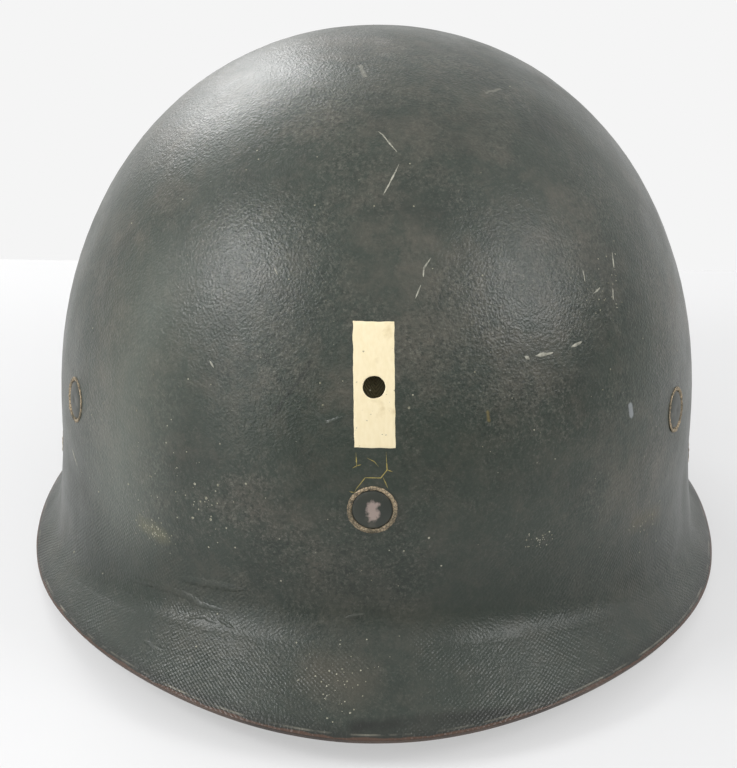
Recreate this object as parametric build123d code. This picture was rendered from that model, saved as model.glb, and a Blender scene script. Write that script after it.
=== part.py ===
from build123d import *
import os
from math import atan, atan2, cos, degrees, hypot, pi, radians, sin, sqrt, tan

# Liner of a steel pot helmet: a moulded laminate shell with its riveted web
# suspension, leather sweatband, nape band and swivelling chinstrap loops.
# The helmet faces -Y, +Z is up, and the origin lies under the middle of the
# shell's box, on the plane that the rim rests on. Left is the wearer's left, +X.
# Lengths are in millimetres and angles in degrees.

# Shell skin: a dome over a wall that drafts outward, then a bend and a brim
crown_height = 170.0
wall_top = 47.0
dome_power = 2.17
side_reach = 105.0
front_reach = 115.3
rear_reach = 121.0
wall_draft_share = 0.077
shell_thickness = 2.6
front_wall_length = 9.0
front_bend_radius = 17.8
front_flare_angle = 53.5
front_rim_height = 10.0
side_wall_length = 34.5
side_bend_radius = 14.0
side_flare_angle = 45.0
side_rim_height = 0.9
rear_wall_length = 32.8
rear_bend_radius = 16.0
rear_flare_angle = 28.0
rear_rim_height = 1.6
brow_lift = 5.5

# Insignia hole in the front
insignia_hole_height = 103.5
insignia_hole_diameter = 6.35

# Bands that make up each skin, the flat at the crown and each curve's points
dome_band_count = 10
wall_band_count = 2
bend_band_count = 3
crown_flat_share = 0.06
curve_span_count = 12

# Suspension rivets and their recesses in the skin
rivet_height = 68.5
side_rivet_angle = 65.5
rivet_head_diameter = 12.0
rivet_shank_diameter = 4.0
rivet_tail_diameter = 7.0
head_height = 1.2
recess_diameter = 13.6
recess_depth = 0.8

# Suspension washers, triangular plates
washer_width = 32.0
washer_height = 28.0
washer_thickness = 1.0
washer_corner_radius = 4.5

# Suspension web band and crown straps
web_thickness = 1.4
band_height = 24.0
band_bend_radius = 18.0
band_flat_length = 26.0
strap_gap = 0.6
strap_width = 20.0
strap_end_height = 31.0
crown_gap = 21.0
strap_shares = (0.8, 0.6, 0.4, 0.2)

# Sweatband with its buckle and clips
sweatband_height = 36.0
sweatband_thickness = 2.4
sweatband_drop = 1.5
clip_width = 13.0
clip_thickness = 0.6
clip_outer_leg = 11.0
clip_inner_leg = 17.0
buckle_width = 26.0
buckle_height = 40.0
buckle_thickness = 1.2
buckle_bar_width = 4.0

# Nape band: a web strap on three rivets, low at the rear
nape_rivet_height = 31.0
nape_side_angle = 142.0
nape_strap_height = 20.0
nape_strap_bow = 16.0
nape_washer_size = 14.0
nape_washer_thickness = 1.0
nape_washer_corner_radius = 2.0
nape_flat_length = 18.0
nape_bend_radius = 10.0
nape_tab_width = 16.0
nape_tab_drop = 9.0
nape_tab_bend_radius = 3.0
snap_cap_diameter = 11.0
snap_pin_diameter = 3.0

# Chinstrap studs and loops
chinstrap_angle = 88.0
chinstrap_height = 34.0
stud_boss_diameter = 9.0
stud_head_diameter = 9.0
stud_pin_diameter = 5.0
loop_length = 24.0
loop_width = 24.0
loop_thickness = 1.4
loop_eye_diameter = 12.0
loop_slot_width = 15.0
loop_slot_height = 5.5
loop_slot_corner_radius = 1.8
loop_rail = 3.0
loop_corner_radius = 3.0

# Clearances
fit_clearance = 0.15
pivot_clearance = 0.08
seat_clearance = 0.5
running_clearance = 0.3
cut_overrun = 8.0


class Guide:
    """Half section of the skin as seen from one side, from crown to rim."""

    def __init__(self, reach, wall_length, bend_radius, flare_angle, rim_height):
        self.reach = reach
        self.wall_length = wall_length
        self.bend_radius = bend_radius
        self.start = atan(2 * wall_draft_share)
        self.flare = radians(flare_angle)
        drop = bend_radius * (sin(self.flare) - sin(self.start))
        lip_drop = wall_top - wall_length - drop - rim_height
        self.lip_length = lip_drop / cos(self.flare)

    def point(self, station, depth=0):
        """Radius and height: dome to station 1, wall to 2, bend to 3, brim to 4."""
        reach = self.reach - depth
        if station <= 1:
            turn = station * pi / 2
            power = 2 / dome_power
            rise = (crown_height - depth - wall_top) * max(cos(turn), 0) ** power
            return reach * sin(turn) ** power, wall_top + rise
        down = min(station - 1, 1)
        radius = reach + wall_draft_share * self.wall_length * down ** 2
        height = wall_top - self.wall_length * down
        turn = self.start + min(max(station - 2, 0), 1) * (self.flare - self.start)
        radius += (self.bend_radius + depth) * (cos(self.start) - cos(turn))
        height -= (self.bend_radius + depth) * (sin(turn) - sin(self.start))
        along = max(station - 3, 0) * self.lip_length
        return radius + along * sin(self.flare), height - along * cos(self.flare)


front = Guide(
    front_reach, front_wall_length, front_bend_radius, front_flare_angle, front_rim_height
)
side = Guide(
    side_reach, side_wall_length, side_bend_radius, side_flare_angle, side_rim_height
)
rear = Guide(
    rear_reach, rear_wall_length, rear_bend_radius, rear_flare_angle, rear_rim_height
)
rim_station = 4
middle_y = (front.point(rim_station)[0] - rear.point(rim_station)[0]) / 2


def skin(angle, station, depth=0):
    """Point of the skin, or of a layer at a depth below it.

    The angle runs from the front towards the left side."""
    across, ahead = sin(radians(angle)), cos(radians(angle))
    side_radius, side_z = side.point(station, depth)
    end_radius, end_z = (front if ahead > 0 else rear).point(station, depth)
    bend, lip = min(max(station - 2, 0), 1), max(station - 3, 0)
    ease = (bend ** 2 + 2 * lip) / 3
    corner = (2 * across * ahead) ** 2 if ahead > 0 else 0
    z = side_z * across ** 2 + end_z * ahead ** 2 + brow_lift * ease * corner
    return Vector(side_radius * across, middle_y - end_radius * ahead, z)


def outward(angle, station):
    """Unit normal of the skin, pointing away from the head."""
    step = 1e-3
    turn = skin(angle + degrees(step), station) - skin(angle - degrees(step), station)
    low = min(station + step, rim_station)
    fall = skin(angle, low) - skin(angle, low - 2 * step)
    return fall.cross(turn).normalized()


def station_at(angle, height):
    """Station at which the skin passes a height."""
    low, high = 0, rim_station
    while high - low > 1e-9:
        middle = (low + high) / 2
        if skin(angle, middle).Z > height:
            low = middle
        else:
            high = middle
    return low


def seat(angle, height, depth=0):
    """Plane on the wall: x level towards the left side, y up, z outward."""
    station = station_at(angle, height)
    normal = outward(angle, station)
    level = Vector(-normal.Y, normal.X, 0).normalized()
    origin = skin(angle, station) - normal * depth
    return Plane(origin, x_dir=level, z_dir=normal)


def stand_off(angle, height, width, tall):
    """Least distance inside the wall at which a flat rectangle lies clear of it."""
    spot = seat(angle, height, shell_thickness)
    worst = 0
    for across in (-width / 2, 0, width / 2):
        for up in (-tall / 2, 0, tall / 2):
            target = spot.from_local_coords(Vector(across, up, 0))
            ahead = middle_y - target.Y
            end_reach = front_reach if ahead > 0 else rear_reach
            near = degrees(atan2(target.X / side_reach, ahead / end_reach)) % 360
            station = station_at(near, target.Z)
            inner = skin(near, station) - outward(near, station) * shell_thickness
            worst = max(worst, -spot.to_local_coords(inner).Z)
    return worst + seat_clearance


def level_point(spot, across, height, depth):
    """Point of a seat's plane, moved inward by a depth, at a height."""
    base = spot.origin - spot.z_dir * depth + spot.x_dir * across
    return base + spot.y_dir * ((height - base.Z) / spot.y_dir.Z)


def disc(plane, radius, low, high):
    """Round solid on a plane between two heights along its normal."""
    return extrude(plane.offset(low) * Circle(radius), high - low)


def ruled_ring(outlines):
    """Ring between two levels, from outer and inner outlines at each level."""
    (low_outer, low_inner), (high_outer, high_inner) = outlines
    body = Solid.make_loft([low_outer, high_outer], ruled=True)
    hollow = Solid.make_loft([low_inner, high_inner], ruled=True)
    return body - hollow


# Places of the rivets around the shell
suspension_angles = {
    "front": 0,
    "front_left": side_rivet_angle,
    "rear_left": 180 - side_rivet_angle,
    "rear": 180,
    "rear_right": 180 + side_rivet_angle,
    "front_right": 360 - side_rivet_angle,
}
nape_angles = {
    "left": nape_side_angle,
    "middle": 180,
    "right": 360 - nape_side_angle,
}
chinstrap_angles = {"left": chinstrap_angle, "right": 360 - chinstrap_angle}

# Depths of the suspension layers below the skin, from the web band inward
band_depth = shell_thickness + max(
    stand_off(angle, rivet_height, band_flat_length, band_height)
    for angle in suspension_angles.values()
)
strap_depth = band_depth + web_thickness
washer_depth = strap_depth + web_thickness
tail_depth = washer_depth + washer_thickness
nape_strap_depth = shell_thickness + max(
    stand_off(angle, nape_rivet_height, nape_flat_length, nape_strap_height)
    for angle in nape_angles.values()
)
nape_washer_depth = nape_strap_depth + web_thickness
nape_tail_depth = nape_washer_depth + nape_washer_thickness
loop_depth = shell_thickness + max(
    stand_off(angle, chinstrap_height, 2 * hypot(loop_length, loop_width / 2), 0)
    for angle in chinstrap_angles.values()
)
stud_head_depth = loop_depth + loop_thickness + fit_clearance


def level_curves(station, depth):
    """Curve round the skin at a station, as a front and a rear half."""
    if station <= 1:
        across, height = side.point(station, depth)
        plane = Plane((0, middle_y, height))
        ahead, behind = (guide.point(station, depth)[0] for guide in (front, rear))
        return [
            Edge.make_ellipse(across, ahead, plane, 180, 360),
            Edge.make_ellipse(across, behind, plane, 0, 180),
        ]
    halves = []
    for start, heading in ((-90, -1), (90, 1)):
        places = [start + 180 * index / curve_span_count for index in range(curve_span_count + 1)]
        points = [skin(angle, station, depth) for angle in places]
        ends = [(0, heading, 0), (0, -heading, 0)]
        halves.append(Edge.make_spline(points, tangents=ends))
    return halves


def even(start, end, count):
    """Evenly spaced values after a start, up to an end."""
    return [start + (end - start) * index / count for index in range(1, count + 1)]


def skin_bands(depth):
    """Skin at a depth, a flat crown and ruled bands below it, and its rim curves."""
    stations = [crown_flat_share, *even(crown_flat_share, 1, dome_band_count)]
    stations += [*even(1, 2, wall_band_count), *even(2, 3, bend_band_count), rim_station]
    curves = [level_curves(station, depth) for station in stations]
    faces = [Face(Wire(curves[0]))]
    for high, low in zip(curves, curves[1:]):
        faces += [Face.make_surface_from_curves(*pair) for pair in zip(high, low)]
    return faces, curves[-1]


def make_shell():
    """Laminate shell: an outer and an inner skin joined by a rim square to them."""
    outer, outer_rim = skin_bands(0)
    inner, inner_rim = skin_bands(shell_thickness)
    rim = [Face.make_surface_from_curves(*pair) for pair in zip(outer_rim, inner_rim)]
    body = Solid(Shell([*outer, *inner, *rim]))
    span = 2 * (front_reach + rear_reach)
    rest = Box(span, span, crown_height, align=(Align.CENTER, Align.CENTER, Align.MAX))
    spot = seat(0, insignia_hole_height)
    cuts = [rest, disc(spot, insignia_hole_diameter / 2, -cut_overrun, cut_overrun)]
    holes = [
        (suspension_angles, rivet_height, rivet_shank_diameter),
        (nape_angles, nape_rivet_height, rivet_shank_diameter),
        (chinstrap_angles, chinstrap_height, stud_pin_diameter),
    ]
    for angles, height, diameter in holes:
        for angle in angles.values():
            spot = seat(angle, height)
            cuts.append(disc(spot, recess_diameter / 2, -recess_depth, cut_overrun))
            cuts.append(disc(spot, diameter / 2 + fit_clearance, -cut_overrun, 0))
    return body - cuts


def turned(outline, plane):
    """Solid of revolution of a closed outline about the outward axis of a seat."""
    section = Plane.XZ * make_face(Polyline(*outline, close=True))
    return plane.location * revolve(section, Axis.Z)


def head_outline(radius, base):
    """Outward head from its rim's foot to the axis."""
    return [(radius, base), (radius, base + head_height), (0, base + head_height)]


def tail_outline(radius, base):
    """Inward head from the axis to its rim's foot."""
    return [(0, base - head_height), (radius, base - head_height), (radius, base)]


def make_rivet(angle, height, tail):
    """Rivet in its recess, through the wall and clinched at a depth."""
    shank = rivet_shank_diameter / 2
    grip = recess_depth - tail
    outline = tail_outline(rivet_tail_diameter / 2, grip)
    outline += [(shank, grip), (shank, 0)]
    outline += head_outline(rivet_head_diameter / 2, 0)
    return turned(outline, seat(angle, height, recess_depth))


def make_washer(angle):
    """Triangular plate over the web, point up."""
    plane = seat(angle, rivet_height, tail_depth)
    slant = hypot(washer_width / 2, washer_height)
    low = -washer_width * washer_height / (washer_width + 2 * slant)
    half = washer_width / 2
    plate = make_face(
        Polyline((-half, low), (half, low), (0, low + washer_height), close=True)
    )
    plate = fillet(plate.vertices(), washer_corner_radius)
    body = extrude(plane * plate, washer_thickness)
    hole = rivet_shank_diameter / 2 + fit_clearance
    return body - disc(plane, hole, -cut_overrun, cut_overrun)


def band_corners(height):
    """Corners of the web band's plan at a level, two for each rivet in turn."""
    half = band_flat_length / 2 + band_bend_radius * tan(pi / 2 / len(suspension_angles))
    corners = []
    for angle in suspension_angles.values():
        spot = seat(angle, rivet_height)
        corners += [level_point(spot, across, height, band_depth) for across in (-half, half)]
    return corners


def band_outline(height, inset):
    """Plan of the web band: flat at each rivet and straight between, at a level."""
    plan = make_face(Polyline(*band_corners(height), close=True))
    plan = fillet(plan.vertices(), band_bend_radius)
    return offset(plan, -inset) if inset else plan


def clip_seats(height):
    """Planes on the web band's outer face, halfway between rivets, at a level.

    x runs level along the band, y up along its lean, and z outward."""
    low = rivet_height - band_height / 2
    seats = []
    lows, levels = band_corners(low), band_corners(height)
    count = len(levels)
    for index in range(1, count, 2):
        after = (index + 1) % count
        along = (levels[after] - levels[index]).normalized()
        middle = (levels[after] + levels[index]) * 0.5
        base = (lows[after] + lows[index]) * 0.5
        rise = (middle - base).normalized() if height > low else (base - middle)
        seats.append(Plane(middle, x_dir=along, z_dir=along.cross(rise)))
    return seats


def make_web_band():
    """Suspension band, a closed web loop that leans with the wall."""
    levels = (rivet_height - band_height / 2, rivet_height + band_height / 2)
    outlines = [
        (band_outline(level, 0).wire(), band_outline(level, web_thickness).wire())
        for level in levels
    ]
    body = ruled_ring(outlines)
    for angle in suspension_angles.values():
        spot = seat(angle, rivet_height, band_depth)
        hole = rivet_shank_diameter / 2 + fit_clearance
        body -= disc(spot, hole, -cut_overrun, cut_overrun)
    return body


def make_strap(angle, order):
    """Crown strap from one rivet over the head to the opposite one.

    Each strap in turn passes under the one before where they cross."""
    near = seat(angle, rivet_height, strap_depth)
    far = seat(angle + 180, rivet_height, strap_depth)
    chord = near.origin - far.origin
    level = Vector(-chord.Y, chord.X, 0).normalized()
    crown_depth = shell_thickness + crown_gap + order * (web_thickness + strap_gap)
    start = station_at(angle, rivet_height + strap_end_height / 2)
    half_thick = web_thickness / 2
    centres, widths = [], []
    for spot, side_angle, sign in ((near, angle, 1), (far, angle + 180, -1)):
        top = spot.from_local_coords(Vector(0, strap_end_height / 2, -half_thick))
        points, levels = [top], [spot.x_dir * sign]
        for share in strap_shares:
            ease = (1 - share) ** 2 * (1 + 2 * share)
            depth = strap_depth + (crown_depth - strap_depth) * ease + half_thick
            points.append(skin(side_angle % 360, start * share, depth))
            levels.append((level * (1 - share) + spot.x_dir * sign * share).normalized())
        centres = centres + points if sign > 0 else centres + points[::-1]
        widths = widths + levels if sign > 0 else widths + levels[::-1]
    crown = Vector(0, middle_y, crown_height - crown_depth - half_thick)
    middle = len(centres) // 2
    centres.insert(middle, crown)
    widths.insert(middle, level)
    sections = []
    for index, (centre, width) in enumerate(zip(centres, widths)):
        before = centres[max(index - 1, 0)]
        after = centres[min(index + 1, len(centres) - 1)]
        up = (after - before).cross(width).normalized() * half_thick
        if index == 0:
            up = near.z_dir * half_thick
        if index == len(centres) - 1:
            up = far.z_dir * half_thick
        reach = width * (strap_width / 2)
        corners = [centre - reach - up, centre + reach - up]
        corners += [centre + reach + up, centre - reach + up]
        sections.append(Wire.make_polygon(corners))
    body = Solid.make_loft(sections)
    for spot in (near, far):
        end = extrude(spot * Rectangle(strap_width, strap_end_height), -web_thickness)
        body += end
    hole = rivet_shank_diameter / 2 + fit_clearance
    cuts = [disc(spot, hole, -cut_overrun, cut_overrun) for spot in (near, far)]
    return body - cuts


def rivet_ends(angles, height, inset):
    """Points of a level that the sweatband keeps outside it, at rivets' inner ends."""
    depth = tail_depth + head_height + running_clearance + inset
    reach = rivet_tail_diameter / 2
    return [
        level_point(seat(angle, rivet_height), across, height, depth)
        for angle in angles
        for across in (-reach, 0, reach)
    ]


def sweatband_outline(height, inset):
    """Oval of the sweatband at a level, two half ellipses.

    The clips hold it off the web, and it stays clear of the rivets' inner ends."""
    gap = web_thickness + clip_thickness + fit_clearance + running_clearance
    gap += clip_width ** 2 / (8 * side_reach) + inset
    ahead, beside, behind = (
        spot.origin - spot.z_dir * gap for spot in clip_seats(height)[:3]
    )
    across = beside.X
    plane = Plane((0, beside.Y, height))
    reaches = []
    for clip_point, angles in (
        (ahead, (0, side_rivet_angle)), (behind, (180 - side_rivet_angle, 180))
    ):
        limits = [clip_point, *rivet_ends(angles, height, inset)]
        reaches.append(min(
            abs(point.Y - beside.Y) / sqrt(1 - (point.X / across) ** 2)
            for point in limits if abs(point.X) < across
        ))
    return Wire([
        Edge.make_ellipse(across, reaches[0], plane, 180, 360),
        Edge.make_ellipse(across, reaches[1], plane, 0, 180),
    ])


def sweatband_levels():
    """Bottom and top edges of the sweatband."""
    top = rivet_height + band_height / 2 - sweatband_drop
    return top - sweatband_height, top


def make_sweatband():
    """Leather band round the head, a closed oval that leans with the web."""
    return ruled_ring([
        (sweatband_outline(level, 0), sweatband_outline(level, sweatband_thickness))
        for level in sweatband_levels()
    ])


def make_clip(spot):
    """Folded spring clip over the web band's top edge, inner leg the longer."""
    profile = Plane(spot.origin, x_dir=spot.z_dir, z_dir=-spot.x_dir)
    outer = fit_clearance
    inner = -web_thickness - fit_clearance
    outline = make_face(Polyline(
        (outer, -clip_outer_leg), (outer + clip_thickness, -clip_outer_leg),
        (outer + clip_thickness, outer + clip_thickness),
        (inner - clip_thickness, outer + clip_thickness),
        (inner - clip_thickness, -clip_inner_leg), (inner, -clip_inner_leg),
        (inner, outer), (outer, outer), close=True,
    ))
    return extrude(profile * outline, clip_width / 2, both=True)


def make_buckle():
    """Sliding buckle on the sweatband's outside, at the rear."""
    low, top = sweatband_levels()
    ends = [sweatband_outline(level, 0).edges().sort_by(Axis.Y)[-1] @ 0.5
            for level in (low, top)]
    rise = Vector(0, ends[1].Y - ends[0].Y, ends[1].Z - ends[0].Z).normalized()
    middle = Vector(0, (ends[0].Y + ends[1].Y) / 2, (low + top) / 2)
    face = Plane(middle, x_dir=(-1, 0, 0), z_dir=Vector(-1, 0, 0).cross(rise))
    window = (buckle_width - 3 * buckle_bar_width) / 2
    frame = RectangleRounded(buckle_width, buckle_height, buckle_bar_width / 2)
    holes = [
        Pos(side * (window + buckle_bar_width) / 2)
        * Rectangle(window, buckle_height - 2 * buckle_bar_width)
        for side in (-1, 1)
    ]
    plate = face.offset(running_clearance) * (frame - holes)
    return extrude(plate, buckle_thickness)


def nape_strip(height):
    """Plan of the nape strap at a level, from the left rivet to the right one."""
    half = nape_flat_length / 2
    bent = half + nape_bend_radius * tan(pi / 12)
    reaches = {"left": (-half, bent), "middle": (-bent, bent), "right": (-bent, half)}
    points = []
    for place, angle in nape_angles.items():
        spot = seat(angle, nape_rivet_height)
        bow = nape_strap_bow if place == "middle" else 0
        for across in reaches[place]:
            points.append(level_point(spot, across, height, nape_strap_depth + bow))
    path = FilletPolyline(*points, radius=nape_bend_radius)
    return make_face(offset(path, web_thickness, side=Side.LEFT, closed=True))


def make_nape_strap():
    """Nape strap, a web band that bows in from the rear wall."""
    levels = (
        nape_rivet_height - nape_strap_height / 2,
        nape_rivet_height + nape_strap_height / 2,
    )
    body = Solid.make_loft([nape_strip(level).wire() for level in levels], ruled=True)
    hole = rivet_shank_diameter / 2 + fit_clearance
    cuts = [
        disc(seat(nape_angles[place], nape_rivet_height, nape_strap_depth), hole,
             -cut_overrun / 2, cut_overrun / 2)
        for place in ("left", "right")
    ]
    cuts.append(disc(snap_seat(), snap_pin_diameter / 2 + fit_clearance,
                     -cut_overrun / 2, cut_overrun / 2))
    return body - cuts


def snap_seat():
    """Plane on the nape strap's outer face, at its middle."""
    return seat(nape_angles["middle"], nape_rivet_height, nape_strap_depth + nape_strap_bow)


def make_nape_tab():
    """Short web tab from the middle rivet, folded in and up behind the strap."""
    spot = seat(nape_angles["middle"], nape_rivet_height, nape_strap_depth)
    profile = Plane(spot.origin, x_dir=-spot.z_dir, z_dir=spot.x_dir)
    tall = nape_strap_height / 2
    low = -tall - nape_tab_drop
    reach = nape_strap_bow - fit_clearance
    path = FilletPolyline(
        (0, tall), (0, low), (reach, low), (reach, tall), radius=nape_tab_bend_radius
    )
    outline = make_face(offset(path, web_thickness, side=Side.LEFT, closed=True))
    body = extrude(profile * outline, nape_tab_width / 2, both=True)
    hole = rivet_shank_diameter / 2 + fit_clearance
    pin = snap_pin_diameter / 2 + fit_clearance
    cuts = [disc(spot, hole, -cut_overrun / 2, cut_overrun / 2),
            disc(snap_seat(), pin, -cut_overrun / 2, cut_overrun / 2)]
    return body - cuts


def make_snap():
    """Snap fastener through the nape tab and strap, a cap on each face."""
    pin = snap_pin_diameter / 2
    out = web_thickness + fit_clearance + seat_clearance
    back = -web_thickness - seat_clearance
    outline = tail_outline(snap_cap_diameter / 2, back)
    outline += [(pin, back), (pin, out)]
    outline += head_outline(snap_cap_diameter / 2, out)
    return turned(outline, snap_seat())


def make_nape_washer(angle):
    """Square washer under a nape rivet's clinched end."""
    plane = seat(angle, nape_rivet_height, nape_tail_depth)
    plate = RectangleRounded(nape_washer_size, nape_washer_size, nape_washer_corner_radius)
    plate -= Circle(rivet_shank_diameter / 2 + fit_clearance)
    return extrude(plane * plate, nape_washer_thickness)


def make_stud(angle):
    """Chinstrap stud: outer head, pin, boss on the lining and inner head."""
    pin = stud_pin_diameter / 2
    boss = stud_boss_diameter / 2
    near = stand_off(angle, chinstrap_height, stud_boss_diameter, stud_boss_diameter)
    boss_top = recess_depth - shell_thickness - near
    boss_end = recess_depth - loop_depth
    foot_top = recess_depth - stud_head_depth
    outline = tail_outline(stud_head_diameter / 2, foot_top)
    outline += [(pin, foot_top), (pin, boss_end), (boss, boss_end), (boss, boss_top)]
    outline += [(pin, boss_top), (pin, 0)]
    outline += head_outline(rivet_head_diameter / 2, 0)
    return turned(outline, seat(angle, chinstrap_height, recess_depth))


def make_loop(angle):
    """Swivelling loop, an eye round the stud and a slot for the chinstrap."""
    plane = seat(angle, chinstrap_height, loop_depth + fit_clearance / 2)
    slot_y = -loop_length + loop_rail + loop_slot_height / 2
    frame_height = loop_slot_height + 2 * loop_rail
    foot = Pos(0, slot_y) * RectangleRounded(loop_width, frame_height, loop_corner_radius)
    eye = loop_eye_diameter / 2
    neck = make_face(Polyline(
        (-eye, 0), (-loop_width / 2 + loop_corner_radius, slot_y),
        (loop_width / 2 - loop_corner_radius, slot_y), (eye, 0), close=True,
    ))
    plate = foot + neck + Circle(eye)
    plate -= Pos(0, slot_y) * RectangleRounded(
        loop_slot_width, loop_slot_height, loop_slot_corner_radius
    )
    plate -= Circle(stud_pin_diameter / 2 + pivot_clearance)
    return extrude(plane * plate, -loop_thickness)


def make_parts():
    """Every node of the helmet liner by its name."""
    nodes = {"liner_shell": make_shell(), "suspension_web_band": make_web_band()}
    for place, angle in suspension_angles.items():
        nodes[f"suspension_rivet_{place}"] = make_rivet(angle, rivet_height, tail_depth)
        nodes[f"suspension_washer_{place}"] = make_washer(angle)
    for order, place in enumerate(("front", "front_left", "rear_left")):
        nodes[f"crown_strap_{place}"] = make_strap(suspension_angles[place], order)
    nodes["sweatband"] = make_sweatband()
    nodes["sweatband_buckle"] = make_buckle()
    for index, spot in enumerate(clip_seats(rivet_height + band_height / 2)):
        nodes[f"sweatband_clip_{index + 1}"] = make_clip(spot)
    for place, angle in nape_angles.items():
        nodes[f"nape_rivet_{place}"] = make_rivet(angle, nape_rivet_height, nape_tail_depth)
        nodes[f"nape_washer_{place}"] = make_nape_washer(angle)
    nodes["nape_strap"] = make_nape_strap()
    nodes["nape_tab"] = make_nape_tab()
    nodes["nape_snap"] = make_snap()
    for place, angle in chinstrap_angles.items():
        nodes[f"chinstrap_stud_{place}"] = make_stud(angle)
        nodes[f"chinstrap_loop_{place}"] = make_loop(angle)
    return nodes


os.makedirs("parts", exist_ok=True)
for node, body in make_parts().items():
    solid = body if isinstance(body, Solid) else body.solid()
    export_step(solid, f"parts/{node}.step")
    print(node, round(solid.volume, 1))
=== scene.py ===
# %% [markdown]
# # Liner of a steel pot helmet
# The helmet is a cloth-and-resin moulding with a web suspension riveted inside.
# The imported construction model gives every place, so each piece is made in metres
# right where it belongs. The front faces -Y, +Z is up, and the wearer's left is +X.

# %% The frame
import random
from math import asin, atan, cos, degrees, hypot, pi, radians, sin, tan

import bmesh
import bpy
from mathutils import Matrix, Vector, noise


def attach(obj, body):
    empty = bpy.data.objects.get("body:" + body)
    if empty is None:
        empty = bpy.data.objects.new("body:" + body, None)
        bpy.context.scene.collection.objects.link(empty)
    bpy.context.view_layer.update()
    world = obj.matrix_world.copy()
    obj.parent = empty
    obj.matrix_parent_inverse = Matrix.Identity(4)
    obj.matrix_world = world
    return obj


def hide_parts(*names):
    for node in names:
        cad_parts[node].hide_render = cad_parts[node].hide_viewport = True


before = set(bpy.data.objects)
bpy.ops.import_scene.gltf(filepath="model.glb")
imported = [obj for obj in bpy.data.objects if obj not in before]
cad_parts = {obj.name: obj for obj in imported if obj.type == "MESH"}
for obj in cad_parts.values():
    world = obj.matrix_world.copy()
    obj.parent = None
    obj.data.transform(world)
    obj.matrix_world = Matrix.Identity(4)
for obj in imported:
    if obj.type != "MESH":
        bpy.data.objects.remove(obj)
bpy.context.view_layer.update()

# %% [markdown]
# ## Small helpers
# Node trees are long, so one function adds a node with its settings and links. A
# link may name a node, and then its first output in use is taken. Another function
# turns sRGB colours, as read from a paint chart, into the linear values that
# shaders expect.

# %% Node and colour helpers
MM = 0.001
MATH, VECTOR_MATH = "ShaderNodeMath", "ShaderNodeVectorMath"
RAMP, BLEND, NOISE = "ShaderNodeMapRange", "ShaderNodeMix", "ShaderNodeTexNoise"
SPLIT, PLACES = "ShaderNodeSeparateXYZ", "ShaderNodeTexCoord"


def feed(tree, socket, source):
    """Gives an input a node's first output in use, a socket or a plain value."""
    if isinstance(source, bpy.types.Node):
        source = next(item for item in source.outputs if item.enabled)
    if isinstance(source, bpy.types.NodeSocket):
        tree.links.new(source, socket)
    else:
        socket.default_value = source


def add(tree, kind, links=None, **settings):
    """A node with its settings, and with what feeds its inputs by place or name."""
    node = tree.nodes.new(kind)
    for name, value in settings.items():
        setattr(node, name, value)
    for place, source in (links or {}).items():
        feed(tree, node.inputs[place] if isinstance(place, int) else next(
            item for item in node.inputs if item.enabled and item.name == place), source)
    return node


def linear(hex_colour):
    """Linear RGBA of an sRGB hex colour."""
    parts = [int(hex_colour[place:place + 2], 16) / 255 for place in (1, 3, 5)]
    light = [c / 12.92 if c <= 0.04045 else ((c + 0.055) / 1.055) ** 2.4 for c in parts]
    return (*light, 1)


def mesh_piece(name, points, faces, smooth=True):
    """An object left at the origin, with a mesh of points in metres."""
    mesh = bpy.data.meshes.new(name)
    mesh.from_pydata([tuple(point) for point in points], [], faces)
    mesh.update()
    piece = bpy.data.objects.new(name, mesh)
    bpy.context.collection.objects.link(piece)
    if smooth:
        mesh.shade_smooth()
    return piece


def applied(piece):
    """The piece with its modifiers made part of a plain mesh."""
    bpy.context.view_layer.update()
    evaluated = piece.evaluated_get(bpy.context.evaluated_depsgraph_get())
    mesh = bpy.data.meshes.new_from_object(evaluated)
    piece.modifiers.clear()
    piece.data = mesh
    return piece


print("helpers ready")

# %% [markdown]
# ## The shell's rule
# The skin of the shell follows three half sections, at the front, side and rear.
# Each one is a dome, a wall with a little draft, a bend and a straight flared brim.
# Between them the skin blends by the angle round the head. The same rule places
# every rivet and strap, so it is written once here, in metres.

# %% Half sections and the skin
CROWN_HEIGHT, WALL_TOP = 170 * MM, 47 * MM
SHELL_THICKNESS = 2.6 * MM
# Power of the dome's superellipse, share by which the wall widens downward, and rise
# of the brim at its front corners
DOME_POWER, DRAFT_SHARE, BROW_LIFT = 2.17, 0.077, 5.5 * MM
# The station of the rim, and how close a search for a station has to come
RIM_STATION, CLOSE = 4, 1e-7


class Section:
    """Half section of the skin: dome to station 1, wall to 2, bend to 3, brim to 4."""

    def __init__(self, reach, wall, bend, flare, rim):
        self.reach, self.wall, self.bend = reach * MM, wall * MM, bend * MM
        self.start, self.flare = atan(2 * DRAFT_SHARE), radians(flare)
        drop = self.bend * (sin(self.flare) - sin(self.start))
        self.lip = (WALL_TOP - self.wall - drop - rim * MM) / cos(self.flare)

    def point(self, station, depth=0.0):
        """Radius and height of the section at a station."""
        if station <= 1:
            turn, power = station * pi / 2, 2 / DOME_POWER
            rise = (CROWN_HEIGHT - depth - WALL_TOP) * max(cos(turn), 0) ** power
            return (self.reach - depth) * sin(turn) ** power, WALL_TOP + rise
        down = min(station - 1, 1)
        turn = self.start + min(max(station - 2, 0), 1) * (self.flare - self.start)
        along = max(station - 3, 0) * self.lip
        radius = self.reach - depth + DRAFT_SHARE * self.wall * down ** 2
        radius += (self.bend + depth) * (cos(self.start) - cos(turn)) + along * sin(self.flare)
        height = WALL_TOP - self.wall * down - along * cos(self.flare)
        return radius, height - (self.bend + depth) * (sin(turn) - sin(self.start))


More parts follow.
